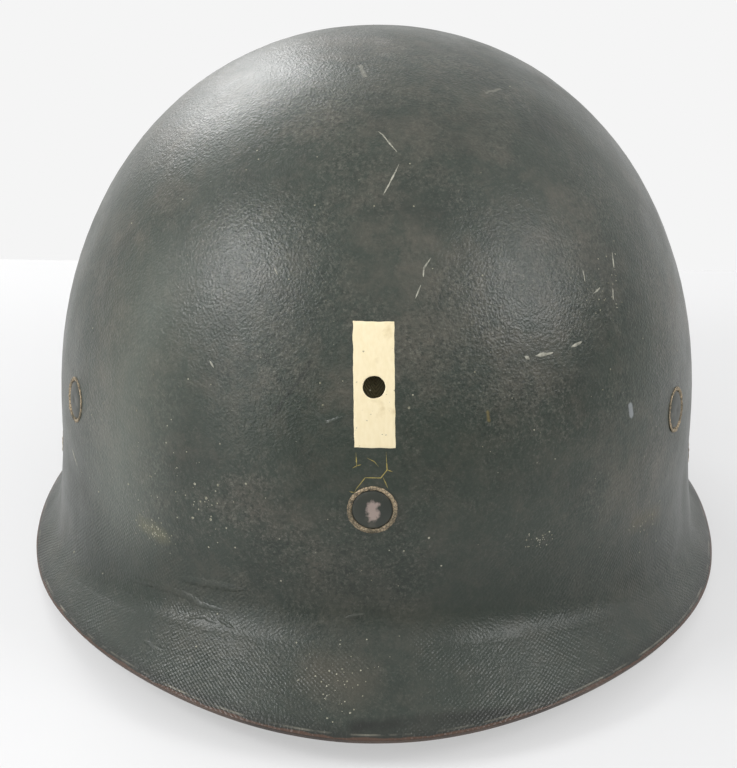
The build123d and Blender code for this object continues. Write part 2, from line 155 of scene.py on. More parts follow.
# Sizes in millimetres, and the flare of the brim from upright in degrees
FRONT = Section(reach=115.3, wall=9.0, bend=17.8, flare=53.5, rim=10.0)
SIDE = Section(reach=105.0, wall=34.5, bend=14.0, flare=45.0, rim=0.9)
REAR = Section(reach=121.0, wall=32.8, bend=16.0, flare=28.0, rim=1.6)
MIDDLE_Y = (FRONT.point(RIM_STATION)[0] - REAR.point(RIM_STATION)[0]) / 2


def skin(angle, station, depth=0.0):
    """Point of the skin at an angle from the front towards the left, in degrees."""
    across, ahead = sin(radians(angle)), cos(radians(angle))
    side_radius, side_z = SIDE.point(station, depth)
    end_radius, end_z = (FRONT if ahead > 0 else REAR).point(station, depth)
    bend, lip = min(max(station - 2, 0), 1), max(station - 3, 0)
    corner = (2 * across * ahead) ** 2 if ahead > 0 else 0
    lift = BROW_LIFT * (bend ** 2 + 2 * lip) / 3 * corner
    z = side_z * across ** 2 + end_z * ahead ** 2 + lift
    return Vector((side_radius * across, MIDDLE_Y - end_radius * ahead, z))


def outward(angle, station):
    """Unit normal of the skin, away from the head."""
    step = 1e-3
    turn = skin(angle + degrees(step), station) - skin(angle - degrees(step), station)
    low = min(station + step, RIM_STATION)
    fall = skin(angle, low) - skin(angle, low - 2 * step)
    return fall.cross(turn).normalized()


def station_at(angle, height):
    """Station at which the skin passes a height."""
    low, high = 0.0, float(RIM_STATION)
    while high - low > CLOSE:
        middle = (low + high) / 2
        if skin(angle, middle).z > height:
            low = middle
        else:
            high = middle
    return low


def seat(angle, height, depth=0.0):
    """Matrix of a flat spot on the wall: x level to the left, y up, z outward."""
    station = station_at(angle, height)
    normal = outward(angle, station)
    level = Vector((-normal.y, normal.x, 0)).normalized()
    place = Matrix((level, normal.cross(level), normal)).transposed().to_4x4()
    place.translation = skin(angle, station) - normal * depth
    return place


print("middle of the head at y =", round(MIDDLE_Y, 5), "half width at the rim",
      round(skin(90, RIM_STATION).x, 4))

# %% [markdown]
# ## The camera
# A camera could be placed by eye, but here the photographer's place is known: in
# front, 26.5 degrees up and 0.76 m away. It is set first, so that every later render
# can be compared with the photograph.

# %% Camera
CAMERA_DISTANCE = 0.7569
CAMERA_RISE = 0.463
CAMERA_YAW = 0.010
CAMERA_ROLL = 0.012
AIM = Vector((-0.00265, MIDDLE_Y, 0.0521))
FOCAL_PIXELS, LONG_SIDE_PIXELS, SENSOR = 2249, 768, 36

back = Vector((sin(CAMERA_YAW) * cos(CAMERA_RISE), -cos(CAMERA_YAW) * cos(CAMERA_RISE),
               sin(CAMERA_RISE)))
right = Vector((cos(CAMERA_YAW), sin(CAMERA_YAW), 0))
up = back.cross(right)
turned_right = right * cos(CAMERA_ROLL) + up * sin(CAMERA_ROLL)
turned_up = up * cos(CAMERA_ROLL) - right * sin(CAMERA_ROLL)
camera_data = bpy.data.cameras.new("camera")
camera_data.lens = FOCAL_PIXELS / LONG_SIDE_PIXELS * SENSOR
camera_data.sensor_width = SENSOR
camera_data.clip_end = 20
camera = bpy.data.objects.new("camera", camera_data)
bpy.context.collection.objects.link(camera)
pose = Matrix((turned_right, turned_up, back)).transposed().to_4x4()
pose.translation = AIM + back * CAMERA_DISTANCE
camera.matrix_world = pose
bpy.context.scene.camera = camera
print("lens", round(camera_data.lens, 1), "mm at", [round(c, 3) for c in pose.translation])

# %% [markdown]
# ## The moulded shell
# The real shell is layers of cotton cloth soaked in resin and pressed hot in a
# mould. It could be sculpted, but its shape follows the three half sections, so
# a node tree lofts a grid between three guide lines, the way a loft is made from
# templates. Each guide point holds its radius, its length along the section and
# its height. The tree closes the seam and the crown by merging doubles. Its sums
# are written as rows of a result, an operation and what it works on.

# %% Node groups and geometry trees
def new_group(name, kind, inputs, output):
    """A node group with its inputs; a socket is a title, a kind and perhaps a value."""
    group = bpy.data.node_groups.new(name, kind)
    for way, sockets in (("INPUT", inputs), ("OUTPUT", [output])):
        for title, socket_kind, *value in sockets:
            socket = group.interface.new_socket(
                title, in_out=way, socket_type="NodeSocket" + socket_kind)
            if value:
                socket.default_value = value[0]
    return group, add(group, "NodeGroupInput").outputs


def worked_out(tree, known, rows):
    """Adds the sums of the rows to a tree; their results join what is known."""
    for result, operation, *sources in rows:
        links = {k: known.get(source, source) for k, source in enumerate(sources)}
        known[result] = add(tree, MATH, links, operation=operation)


def axes_of(tree, title, source):
    """The three axes of a vector, by their titles."""
    return {f"{title} {axis.name.lower()}": axis
            for axis in add(tree, SPLIT, {0: source}).outputs}


def end_tree(tree, geometry, material):
    """Ends a geometry tree with real geometry and its material."""
    real = add(tree, "GeometryNodeRealizeInstances", {"Geometry": geometry})
    done = add(tree, "GeometryNodeSetMaterial", {"Geometry": real, "Material": material})
    add(tree, "NodeGroupOutput", {0: done})
    return tree


def run_tree(piece, tree, values):
    """The piece made by a geometry tree with its named inputs set."""
    modifier = piece.modifiers.new(tree.name, "NODES")
    modifier.node_group = tree
    for item in tree.interface.items_tree:
        if item.in_out == "INPUT" and item.name in values:
            modifier[item.identifier] = values[item.name]
    return applied(piece)


print("tools for node groups ready")

# %% Guides and the loft tree
ROWS, COLUMNS = 128, 240
GIRTH = 2 * pi * SIDE.reach
GUIDES = ("Front guide", "Side guide", "Rear guide")
WELD = 1e-5


def guide_line(name, section):
    """Points of a half section, from rim to crown, as (radius, length, height)."""
    flat = [section.point(RIM_STATION * (1 - row / ROWS)) for row in range(ROWS + 1)]
    points, length = [], 0.0
    for row, (radius, height) in enumerate(flat):
        if row:
            length += hypot(radius - flat[row - 1][0], height - flat[row - 1][1])
        points.append((radius, length, height))
    return mesh_piece(name, points, [])


def loft_tree():
    """Tree that lofts a closed skin between a front, a side and a rear guide."""
    tree, into = new_group("moulded skin", "GeometryNodeTree", [
        ("Geometry", "Geometry"), *((name, "Object") for name in GUIDES),
        ("Columns", "Int", COLUMNS), ("Rows", "Int", ROWS), ("Middle", "Float", MIDDLE_Y),
        ("Brow lift", "Float", BROW_LIFT), ("Girth", "Float", GIRTH),
        ("Material", "Material")], ("Geometry", "Geometry"))
    known = {socket.name: socket for socket in into}
    known |= axes_of(tree, "flat", add(tree, "GeometryNodeInputPosition"))
    worked_out(tree, known, (
        ("columns", "ADD", "Columns", 1), ("rows", "ADD", "Rows", 1),
        ("share round", "ADD", "flat x", 0.5), ("share up", "ADD", "flat y", 0.5),
        ("turn", "MULTIPLY", "share round", 2 * pi),
        ("across", "SINE", "turn"), ("ahead", "COSINE", "turn"),
        ("row", "MULTIPLY", "share up", "Rows"), ("row", "ROUND", "row"),
        ("in front", "GREATER_THAN", "ahead", 0),
        ("down", "SUBTRACT", 1, "share up"), ("station", "MULTIPLY", "down", RIM_STATION)))
    infos = [add(tree, "GeometryNodeObjectInfo", {"Object": into[name]}) for name in GUIDES]
    front, side, rear = (
        add(tree, "GeometryNodeSampleIndex",
            {"Geometry": info.outputs["Geometry"], "Index": known["row"],
             "Value": add(tree, "GeometryNodeInputPosition")},
            data_type="FLOAT_VECTOR", domain="POINT") for info in infos)
    end = add(tree, BLEND, {"Factor": known["in front"], "A": rear, "B": front},
              data_type="VECTOR")
    known |= axes_of(tree, "end", end) | axes_of(tree, "side", side)
    for part, start in (("bend", 2), ("lip", 3)):
        known[part] = add(tree, MATH, {0: known["station"], 1: start},
                          operation="SUBTRACT", use_clamp=True)
    # The lift of the brow corners is the skin rule's; 4 / 3 is its 2 squared over its 3
    worked_out(tree, known, (
        ("ease", "MULTIPLY", "bend", "bend"), ("ease", "MULTIPLY_ADD", "lip", 2, "ease"),
        ("corner", "MULTIPLY", "across", "ahead"), ("corner", "POWER", "corner", 2),
        ("lift", "MULTIPLY", "ease", "corner"), ("lift", "MULTIPLY", "lift", "in front"),
        ("lift", "MULTIPLY", "lift", 4 / 3), ("lift", "MULTIPLY", "lift", "Brow lift"),
        ("side share", "POWER", "across", 2), ("end share", "POWER", "ahead", 2),
        ("height", "MULTIPLY_ADD", "side z", "side share", "lift"),
        ("height", "MULTIPLY_ADD", "end z", "end share", "height"),
        ("length", "MULTIPLY", "side y", "side share"),
        ("length", "MULTIPLY_ADD", "end y", "end share", "length"),
        ("reach", "MULTIPLY", "end x", "ahead"), ("back", "SUBTRACT", "Middle", "reach"),
        ("left", "MULTIPLY", "side x", "across"),
        ("round", "MULTIPLY", "share round", "Girth")))
    point = add(tree, "ShaderNodeCombineXYZ",
                {"X": known["left"], "Y": known["back"], "Z": known["height"]})
    cloth = add(tree, "ShaderNodeCombineXYZ", {"X": known["round"], "Y": known["length"]})
    grid = add(tree, "GeometryNodeMeshGrid",
               {"Size X": 1, "Size Y": 1, "Vertices X": known["columns"],
                "Vertices Y": known["rows"]})
    stored = add(tree, "GeometryNodeStoreNamedAttribute",
                 {"Geometry": grid.outputs["Mesh"], "Name": "UVMap", "Value": cloth},
                 data_type="FLOAT2", domain="CORNER")
    lofted = add(tree, "GeometryNodeSetPosition", {"Geometry": stored, "Position": point})
    closed = add(tree, "GeometryNodeMergeByDistance", {"Geometry": lofted, "Distance": WELD})
    smooth = add(tree, "GeometryNodeSetShadeSmooth", {"Geometry": closed})
    return end_tree(tree, smooth, into["Material"])


LOFT = loft_tree()
print("skin tree nodes:", len(LOFT.nodes))

# %% [markdown]
# ## Marks on a finish
# Scratches, scuffs and chips are short strokes at known places. Painting an image
# would work, but a node group keeps them sharp at any size: it measures how far a
# point is from a stroke, after noise has roughened the place that it reads.

# %% A group that draws one stroke
def stroke_group():
    """Group that gives 1 inside a stroke from a start to an end, and 0 outside."""
    group, into = new_group("stroke", "ShaderNodeTree", [
        ("Start", "Vector"), ("End", "Vector"), ("Width", "Float", MM), ("Soft", "Float", 0.3),
        ("Ragged", "Float", MM), ("Grain", "Float", MM)], ("Mask", "Float"))
    here = add(group, PLACES).outputs["Object"]
    scale = add(group, MATH, {0: 1, 1: into["Grain"]}, operation="DIVIDE")
    rough = add(group, NOISE, {"Vector": here, "Scale": scale, "Detail": 3})
    rough = add(group, VECTOR_MATH, {0: rough.outputs["Color"], 1: (0.5, 0.5, 0.5)},
                operation="SUBTRACT")
    rough = add(group, VECTOR_MATH, {0: rough, "Scale": into["Ragged"]}, operation="SCALE")
    here = add(group, VECTOR_MATH, {0: here, 1: rough}, operation="ADD")
    run = add(group, VECTOR_MATH, {0: into["End"], 1: into["Start"]}, operation="SUBTRACT")
    reach = add(group, VECTOR_MATH, {0: here, 1: into["Start"]}, operation="SUBTRACT")
    top, under = (add(group, VECTOR_MATH, {0: way, 1: run}, operation="DOT_PRODUCT")
                  for way in (reach, run))
    share = add(group, MATH, {0: top, 1: under}, operation="DIVIDE", use_clamp=True)
    nearest = add(group, VECTOR_MATH, {0: run, "Scale": share}, operation="SCALE")
    far = add(group, VECTOR_MATH, {0: reach, 1: nearest}, operation="DISTANCE")
    far = add(group, MATH, {0: far, 1: into["Width"]}, operation="DIVIDE")
    inside = add(group, MATH, {0: 1, 1: into["Soft"]}, operation="SUBTRACT")
    mask = add(group, RAMP, {"Value": far, "From Min": 1, "From Max": inside})
    add(group, "NodeGroupOutput", {"Mask": mask})
    return group


STROKE = stroke_group()


def spot(angle, height):
    """Point of the skin at an angle and a height in millimetres."""
    return seat(angle, height * MM).translation


def stroke(tree, start, end, width, soft, ragged):
    """Mask of one stroke on the skin between two spots; its sizes in millimetres."""
    return add(tree, "ShaderNodeGroup",
               {"Start": spot(*start), "End": spot(*end), "Width": width * MM, "Soft": soft,
                "Ragged": ragged * MM, "Grain": 2 * ragged * MM}, node_tree=STROKE)


print("stroke group nodes:", len(STROKE.nodes))

# %% [markdown]
# ## Paint over moulded cloth
# The outside is brushed oil enamel, semi-matt and dark green-grey, over pressed
# cotton duck. Up close it has a fine leathery grain, the weave of the cloth where
# the paint is thin, dusty brown-grey blotches, and pale speckle. Gloss comes and
# goes, so roughness varies too. A painted image could hold all this, but noise of a
# real size stays sharp at any distance. The grain and blotches read Object
# coordinates, and the weave reads the UV map, which is laid out in metres along the
# skin, from 0 at the rim.

# %% Masks, coats and finishes
def patches(tree, here, size, low, high, most=1, least=0, seed=None, detail=2, roughness=0.5):
    """Mask of patches of a size in millimetres: noise narrowed to a range."""
    links = {"Vector": here, "Scale": 1 / (size * MM), "Detail": detail,
             "Roughness": roughness} | ({} if seed is None else {"W": seed})
    cloud = add(tree, NOISE, links, noise_dimensions="3D" if seed is None else "4D")
    return add(tree, RAMP, {"Value": cloud, "From Min": low, "From Max": high,
                            "To Min": least, "To Max": most})


def coats(tree, colour, *layers):
    """The colour under coats, each a mask and an sRGB hex colour."""
    for mask, paint in layers:
        colour = add(tree, BLEND, {"Factor": mask, "A": colour, "B": linear(paint)},
                     data_type="RGBA")
    return colour


def weave(tree, axes, pitch):
    """Relief of a plain weave from the UV axes."""
    waves = [add(tree, MATH, {0: axes[axis], 1: pi / pitch}, operation="MULTIPLY")
             for axis in ("X", "Y")]
    waves = [add(tree, MATH, {0: wave}, operation="SINE") for wave in waves]
    return add(tree, MATH, dict(enumerate(waves)), operation="MULTIPLY")


def new_material(name):
    """A material with an empty tree, its shader and its output."""
    material = bpy.data.materials.new(name)
    material.use_nodes = True
    tree = material.node_tree
    tree.nodes.clear()
    shader = add(tree, "ShaderNodeBsdfPrincipled")
    add(tree, "ShaderNodeOutputMaterial", {"Surface": shader})
    return material, tree, shader


def finish_with(tree, shader, colour, roughness, relief, strength, depth):
    """Colour, roughness and relief given to a shader, the depth in millimetres."""
    bump = add(tree, "ShaderNodeBump",
               {"Strength": strength, "Distance": depth * MM, "Height": relief})
    for name, source in (("Base Color", colour), ("Roughness", roughness),
                         ("Normal", bump)):
        feed(tree, shader.inputs[name], source)


print("finish tools ready")

# %% Enamel on cotton duck laminate
ENAMEL, ENAMEL_DUSTY, ENAMEL_DEEP = "#303830", "#59544a", "#1b221c"
SCUFF, BARE = "#77766b", "#463022"
# Pitch of the threads; sizes of the grain in millimetres, with their shares of relief
WEAVE_PITCH = 0.75 * MM
GRAINS = [(0.8, 1.0), (2.2, 0.4), (9, 0.9)]
# Size of the patches, seed, range of the noise, greatest share, colour. What is
# finer than the speckle limit comes and goes by zones.
SPECKLE_LIMIT = 2
CLOUDS = [(46, 2.0, 0.50, 0.68, 0.7, ENAMEL_DUSTY), (30, 7.0, 0.50, 0.70, 0.6, ENAMEL_DEEP),
          (7, 4.0, 0.46, 0.72, 0.4, ENAMEL_DUSTY), (1.3, 8.0, 0.46, 0.62, 0.85, ENAMEL_DEEP),
          (0.9, 3.0, 0.50, 0.70, 0.6, SCUFF)]
# Heights at which the cloth starts to show, the darker, greener brim starts (its own
# paint and painted shade), and both reach their most
CLOTH_SHOWS, DARKENING_STARTS, FULL_ON_BRIM = 52 * MM, 58 * MM, 34 * MM
# Brim paint with painted shade, dark rim strip, and painted highlight on the rim's corner
BRIM_PAINT_AND_SHADE, RIM_STRIP, RIM_HIGHLIGHT = "#1a231b", "#12160f", "#8d897b"
# Up from the rim: top of the dark strip and where it is full, middle and half width
# of the pale line of painted highlight, and how high the paint can be worn through
STRIP_TOP, STRIP_FULL, LIP_MIDDLE, LIP_HALF = 6 * MM, 1 * MM, 1.7 * MM, 0.3 * MM
WORN_REACH, WORN_START, WORN_FULL = 2.4 * MM, 0.2 * MM, 0.5 * MM
# Marks: angle and height of both ends, half width, softness, raggedness, colour and
# strength. Angles are in degrees, the other sizes in millimetres.
STROKES = [
    ((-7.5, 22), (-2.5, 20), 11, 1.0, 6.0, "#5c5346", 0.32),
    # A broad pale patch down the wearer's right side: partly dust, partly painted sheen
    ((-46.0, 112), (-48.0, 54), 28, 1.0, 6.0, "#7a7f77", 0.36),
    ((-2.0, 12.3), (20.0, 12.5), 3.0, 0.8, 3.0, "#0b0e07", 0.85),
    ((-24.5, 169.1), (-12.6, 168.2), 1.0, 0.7, 1.6, SCUFF, 0.7),
    ((57.4, 163.4), (67.2, 162.8), 0.6, 0.7, 1.6, SCUFF, 0.6),
    ((49.3, 82.5), (49.3, 79.8), 1.3, 0.4, 0.6, "#84888a", 0.85),
    ((19.4, 94.7), (19.5, 92.4), 0.7, 0.8, 0.8, "#6f6238", 0.7),
    ((-42.0, 46.5), (-37.4, 45.4), 4.0, 1.0, 6.0, "#68654c", 0.5),
    ((50.9, 42.8), (58.1, 38.5), 5.0, 1.0, 6.0, "#4c452f", 0.5),
    ((-16.5, 94.0), (-11.2, 109.0), 0.8, 0.9, 2.6, "#1d221d", 0.8),
]


def enamel_material():
    """Brushed semi-matt enamel over pressed cotton duck: dull green-grey, mottled."""
    material, tree, shader = new_material("brushed enamel on cotton duck laminate")
    place = add(tree, PLACES).outputs
    here, colour = place["Object"], linear(ENAMEL)
    zone = patches(tree, here, 22, 0.38, 0.62, least=0.25, seed=5.0, detail=3)
    for size, seed, low, high, most, paint in CLOUDS:
        cloud = patches(tree, here, size, low, high, most, seed=seed, detail=5, roughness=0.75)
        if size < SPECKLE_LIMIT:
            cloud = add(tree, MATH, {0: cloud, 1: zone}, operation="MULTIPLY")
        colour = coats(tree, colour, (cloud, paint))
    axes = add(tree, SPLIT, {0: place["UV"]}).outputs
    height = add(tree, SPLIT, {0: here}).outputs["Z"]
    thin = patches(tree, here, 16, 0.4, 0.65, seed=3.0)
    low_down = add(tree, RAMP, {"Value": height, "From Min": CLOTH_SHOWS,
                                "From Max": FULL_ON_BRIM, "To Min": 0.05, "To Max": 0.3})
    thin = add(tree, MATH, {0: thin, 1: low_down}, operation="MULTIPLY")
    relief = add(tree, MATH, {0: weave(tree, axes, WEAVE_PITCH), 1: thin}, operation="MULTIPLY")
    for size, share in GRAINS:
        grain = add(tree, NOISE, {"Vector": here, "W": 1.0, "Scale": 1 / (size * MM),
                                  "Detail": 2}, noise_dimensions="4D")
        relief = add(tree, MATH, {0: grain, 1: share, 2: relief}, operation="MULTIPLY_ADD")
    # Darker and greener towards the brim: partly the brim's own paint, partly painted shade
    brim_darkening = add(tree, RAMP, {"Value": height, "From Min": DARKENING_STARTS,
                            "From Max": FULL_ON_BRIM, "To Max": 0.5})
    colour = coats(tree, colour, (brim_darkening, BRIM_PAINT_AND_SHADE))
    for *places, paint, share in STROKES:
        share = add(tree, MATH, {0: stroke(tree, *places), 1: share}, operation="MULTIPLY")
        colour = coats(tree, colour, (share, paint))

    # Along the rim a dark strip, a painted highlight line, and paint worn through to the
    # laminate
    worn = add(tree, NOISE, {"Vector": here, "W": 6.0, "Scale": 1 / (7 * MM), "Detail": 4},
               noise_dimensions="4D")
    strip = add(tree, RAMP, {"Value": axes["Y"], "From Min": STRIP_TOP,
                             "From Max": STRIP_FULL, "To Max": 0.8})
    # Painted highlight: a pale broken line on the rounded corner just above the rim
    lip = add(tree, MATH, {0: axes["Y"], 1: LIP_MIDDLE, 2: LIP_HALF}, operation="COMPARE")
    bright = add(tree, RAMP, {"Value": worn, "From Min": 0.42, "From Max": 0.7, "To Max": 0.5})
    lip = add(tree, MATH, {0: lip, 1: bright}, operation="MULTIPLY")
    through = add(tree, MATH, {0: worn, 1: WORN_REACH}, operation="MULTIPLY")
    through = add(tree, MATH, {0: through, 1: axes["Y"]}, operation="SUBTRACT")
    through = add(tree, RAMP, {"Value": through, "From Min": WORN_START,
                               "From Max": WORN_FULL, "To Max": 0.9})
    colour = coats(tree, colour, (strip, RIM_STRIP), (lip, RIM_HIGHLIGHT), (through, BARE))
    gloss = patches(tree, here, 18, 0.35, 0.7, 0.42, 0.32, seed=9.0, detail=3)
    finish_with(tree, shader, colour, gloss, relief, 0.7, 0.3)
    return material


def laminate_material(name, base, streak, pitch):
    """Bare resin-bonded cloth: dull, with its threads or plies showing."""
    material, tree, shader = new_material(name)
    place = add(tree, PLACES).outputs
    cloth = weave(tree, add(tree, SPLIT, {0: place["UV"]}).outputs, pitch)
    cloth = add(tree, MATH, {0: cloth}, operation="ABSOLUTE")
    patch = patches(tree, place["Object"], 14, 0.4, 0.65, seed=3.0, detail=4)
    share = add(tree, MATH, {0: cloth, 1: 0.3}, operation="MULTIPLY")
    colour = coats(tree, linear(base), (patch, streak), (share, streak))
    finish_with(tree, shader, colour, 0.58, cloth, 0.5, 0.2)
    return material


enamel = enamel_material()
inside = laminate_material("bare phenolic cotton laminate", "#4f4c34", "#3d3d2b", WEAVE_PITCH)
edge = laminate_material("worn laminate edge", "#31251c", "#4f3d30", 0.6 * MM)
print("shell materials:", enamel.name, "/", inside.name, "/", edge.name)

# %% [markdown]
# ## The shell's walls and holes
# The lofted skin gets its 2.6 mm of thickness inward from Solidify, which also
# puts the bare laminate inside and on the rim. The rivets sit in shallow pressed
# recesses, and the badge hole is drilled. Those are cut with one Boolean of
# joined drums, which keeps their edges crisp. Hand work leaves the skin a little
# uneven, so noise moves it by a tenth of a millimetre or two at most.

# %% Shell
HOLE_HEIGHT, HOLE_RADIUS = 103.5 * MM, 3.175 * MM
RECESS_RADIUS, RECESS_DEPTH, CUT_REACH = 6.8 * MM, 0.8 * MM, 8 * MM
RIVET_HEIGHT, NAPE_HEIGHT = 68.5 * MM, 31 * MM
SUSPENSION_ANGLES, NAPE_ANGLES = [0, 65.5, 114.5, 180, 245.5, 294.5], [142, 180, 218]
STUD_ANGLES, STUD_HEIGHT = [88, 272], 34 * MM
FASTENERS = {"suspension_rivet": (SUSPENSION_ANGLES, RIVET_HEIGHT),
             "nape_rivet": (NAPE_ANGLES, NAPE_HEIGHT),
             "chinstrap_stud": (STUD_ANGLES, STUD_HEIGHT)}
# Unevenness of the skin with the sizes of its two waves, and rounding of the rim
UNEVEN, SLOW_WAVE, QUICK_WAVE, RIM_ROUNDING = 0.16 * MM, 32 * MM, 12 * MM, 0.5 * MM
# Angles over which edges are rounded, or stay sharp
ROUNDED_OVER, SHARP_OVER = radians(50), radians(35)


def turned(outline, segments=64):
    """Points and faces of a profile of (radius, height) pairs turned about z.

    A profile from axis to axis is closed by its poles, and any other one by a seam."""
    poles = outline[0][0] == 0
    body = outline[1:-1] if poles else outline
    points = [(radius * cos(2 * pi * k / segments), radius * sin(2 * pi * k / segments), height)
              for radius, height in body for k in range(segments)]
    faces, rings = [], len(body)
    for ring in range(rings - 1 if poles else rings):
        low, high = ring * segments, (ring + 1) % rings * segments
        faces += [(low + k, low + (k + 1) % segments, high + (k + 1) % segments, high + k)
                  for k in range(segments)]
    if poles:
        low, high, last = len(points), len(points) + 1, (rings - 1) * segments
        points += [(0, 0, outline[0][1]), (0, 0, outline[-1][1])]
        faces += [(low, (k + 1) % segments, k) for k in range(segments)]
        faces += [(last + k, last + (k + 1) % segments, high) for k in range(segments)]
    return points, faces


def drum(radius, low, high):
    """Outline of a plain drum between two heights."""
    return [(0, low), (radius, low), (radius, high), (0, high)]


def joined(name, shapes):
    """One object of several shapes, each a list of points and faces with a matrix."""
    points, faces = [], []
    for (shape_points, shape_faces), place in shapes:
        start = len(points)
        points += [place @ Vector(point) for point in shape_points]
        faces += [tuple(start + index for index in face) for face in shape_faces]
    return mesh_piece(name, points, faces)


def uneven(point):
    """How far the hand-finished skin stands off its rule at a point."""
    return UNEVEN * (noise.noise(point / SLOW_WAVE) + noise.noise(point / QUICK_WAVE) / 2)


def given(piece, *materials):
    """The piece with its materials in place of any others."""
    piece.data.materials.clear()
    for material in materials:
        piece.data.materials.append(material)
    return piece


def cut_by(piece, cutter, material_mode="INDEX"):
    """The piece with a cutter's shape taken out of it; the cutter goes."""
    cut = piece.modifiers.new("holes", "BOOLEAN")
    cut.object, cut.solver, cut.operation = cutter, "EXACT", "DIFFERENCE"
    cut.material_mode = material_mode
    applied(piece)
    bpy.data.objects.remove(cutter)


def on_helmet(piece, slot, *nodes):
    """The piece rides the helmet and stands for its nodes; its slot is not used."""
    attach(piece, "helmet")
    if nodes:
        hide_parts(*nodes)
    print(piece.name, "faces", len(piece.data.polygons), "stands for", len(nodes), "nodes")


guides = [guide_line("guide", section) for section in (FRONT, SIDE, REAR)]
shell = run_tree(mesh_piece("helmet_shell", [(0, 0, 0)], []), LOFT,
                 dict(zip(GUIDES, guides)) | {"Material": enamel})
for guide in guides:
    bpy.data.objects.remove(guide)
given(shell, enamel, inside, edge)
for vertex, normal in zip(shell.data.vertices, [item.vector.copy() for item in
                                                shell.data.vertex_normals]):
    vertex.co += normal * uneven(vertex.co)
wall = shell.modifiers.new("wall", "SOLIDIFY")
wall.thickness, wall.offset = SHELL_THICKNESS, -1
wall.material_offset, wall.material_offset_rim = 1, 2
applied(shell)
soft_rim = shell.modifiers.new("soft rim", "BEVEL")
soft_rim.width, soft_rim.segments, soft_rim.limit_method = RIM_ROUNDING, 3, "ANGLE"
soft_rim.angle_limit = ROUNDED_OVER
applied(shell)
for vertex in shell.data.vertices:
    vertex.co.z = max(vertex.co.z, 0)

drums = [(turned(drum(HOLE_RADIUS, -CUT_REACH, CUT_REACH)), seat(0, HOLE_HEIGHT))]
for angles, height in FASTENERS.values():
    recess = turned(drum(RECESS_RADIUS, -RECESS_DEPTH, CUT_REACH), segments=96)
    drums += [(recess, seat(angle, height)) for angle in angles]
cutters = given(joined("cutters", drums), enamel, edge)
for face in cutters.data.polygons[:len(drums[0][0][1])]:
    face.material_index = 1
cut_by(shell, cutters, "TRANSFER")
shell.data.shade_smooth()
shell.data.set_sharp_from_angle(angle=SHARP_OVER)
on_helmet(shell, "shell_laminate", "liner_shell")
print("shell materials", [item.name for item in shell.data.materials])

# %% [markdown]
# ## Copies on points
# Rivets, the cracked paint round them, specks and stitches all repeat. They could be
# duplicated by hand, but are a natural job for Geometry Nodes: each point carries the
# way that its copy faces, the way that it runs and its size, and one tree puts a
# template on every point.

# %% Tree for copies on points
def copies_tree():
    """Tree that puts one template on every point, turned its own way."""
    tree, into = new_group("copies on points", "GeometryNodeTree", [
        ("Geometry", "Geometry"), ("Template", "Object"), ("Size", "Float", 1.0),
        ("Material", "Material")], ("Geometry", "Geometry"))
    facing, along = (add(tree, "GeometryNodeInputNamedAttribute", {"Name": name},
                         data_type="FLOAT_VECTOR") for name in ("facing", "along"))
    turn = add(tree, "FunctionNodeAxesToRotation",
               {"Primary Axis": facing, "Secondary Axis": along},
               primary_axis="Z", secondary_axis="X")
    own = add(tree, "GeometryNodeInputNamedAttribute", {"Name": "size"}, data_type="FLOAT")
    size = add(tree, MATH, {0: own, 1: into["Size"]}, operation="MULTIPLY")
    template = add(tree, "GeometryNodeObjectInfo", {"Object": into["Template"]})
    put = add(tree, "GeometryNodeInstanceOnPoints",
              {"Points": into["Geometry"], "Instance": template.outputs["Geometry"],
               "Rotation": turn, "Scale": size})
    return end_tree(tree, put, into["Material"])


COPIES = copies_tree()


def copies(name, shape, places, material):
    """Copies of one shape on several places; a place is a matrix that may scale it."""
    template = mesh_piece("template", *shape)
    points = mesh_piece(name, [place.translation for place in places], [])
    for title, column in (("along", 0), ("facing", 2)):
        layer = points.data.attributes.new(title, "FLOAT_VECTOR", "POINT")
        for item, place in zip(layer.data, places):
            item.vector = place.col[column].to_3d()
    layer = points.data.attributes.new("size", "FLOAT", "POINT")
    for item, place in zip(layer.data, places):
        item.value = place.col[2].to_3d().length
    made = run_tree(points, COPIES, {"Template": template, "Material": material})
    bpy.data.objects.remove(template)
    given(made, material).data.set_sharp_from_angle(angle=radians(40))
    return made


print("copies tree nodes:", len(COPIES.nodes))

# %% [markdown]
# ## Metal finishes
# The metal parts were painted with the shell, painted thinly in drab or blackened, and
# rub back to bare metal in places. One recipe serves them: a base finish, a worn one,
# and wear that follows noise of a real size. The front rivet is rubbed bare across
# its middle, so its finish gets one wide stroke of metal.

# %% Metals
RUBBED = "#96877f"


def metal(name, paint, bare, wear_low, wear_high, metallic=0.0, roughness=0.5, rubbed=None):
    """Metal with a finish that noise wears through, and a rubbed place if there is one."""
    material, tree, shader = new_material(name)
    here = add(tree, PLACES).outputs["Object"]
    worn = patches(tree, here, 3, wear_low, wear_high, seed=8.0, detail=3)
    tone = patches(tree, here, 9, 0.3, 0.8, 0.4, seed=2.0, detail=3)
    grain = add(tree, NOISE, {"Vector": here, "W": 1.0, "Detail": 3, "Scale": 1 / (0.6 * MM)},
                noise_dimensions="4D")
    colour = coats(tree, linear(paint), (tone, bare), (worn, bare))
    if rubbed:
        mask = add(tree, "ShaderNodeGroup", rubbed, node_tree=STROKE)
        colour = coats(tree, colour, (mask, RUBBED))
    rough = add(tree, RAMP, {"Value": worn, "To Min": roughness, "To Max": roughness - 0.1})
    finish_with(tree, shader, colour, rough, grain, 0.35, 0.1)
    shader.inputs["Metallic"].default_value = metallic
    return material


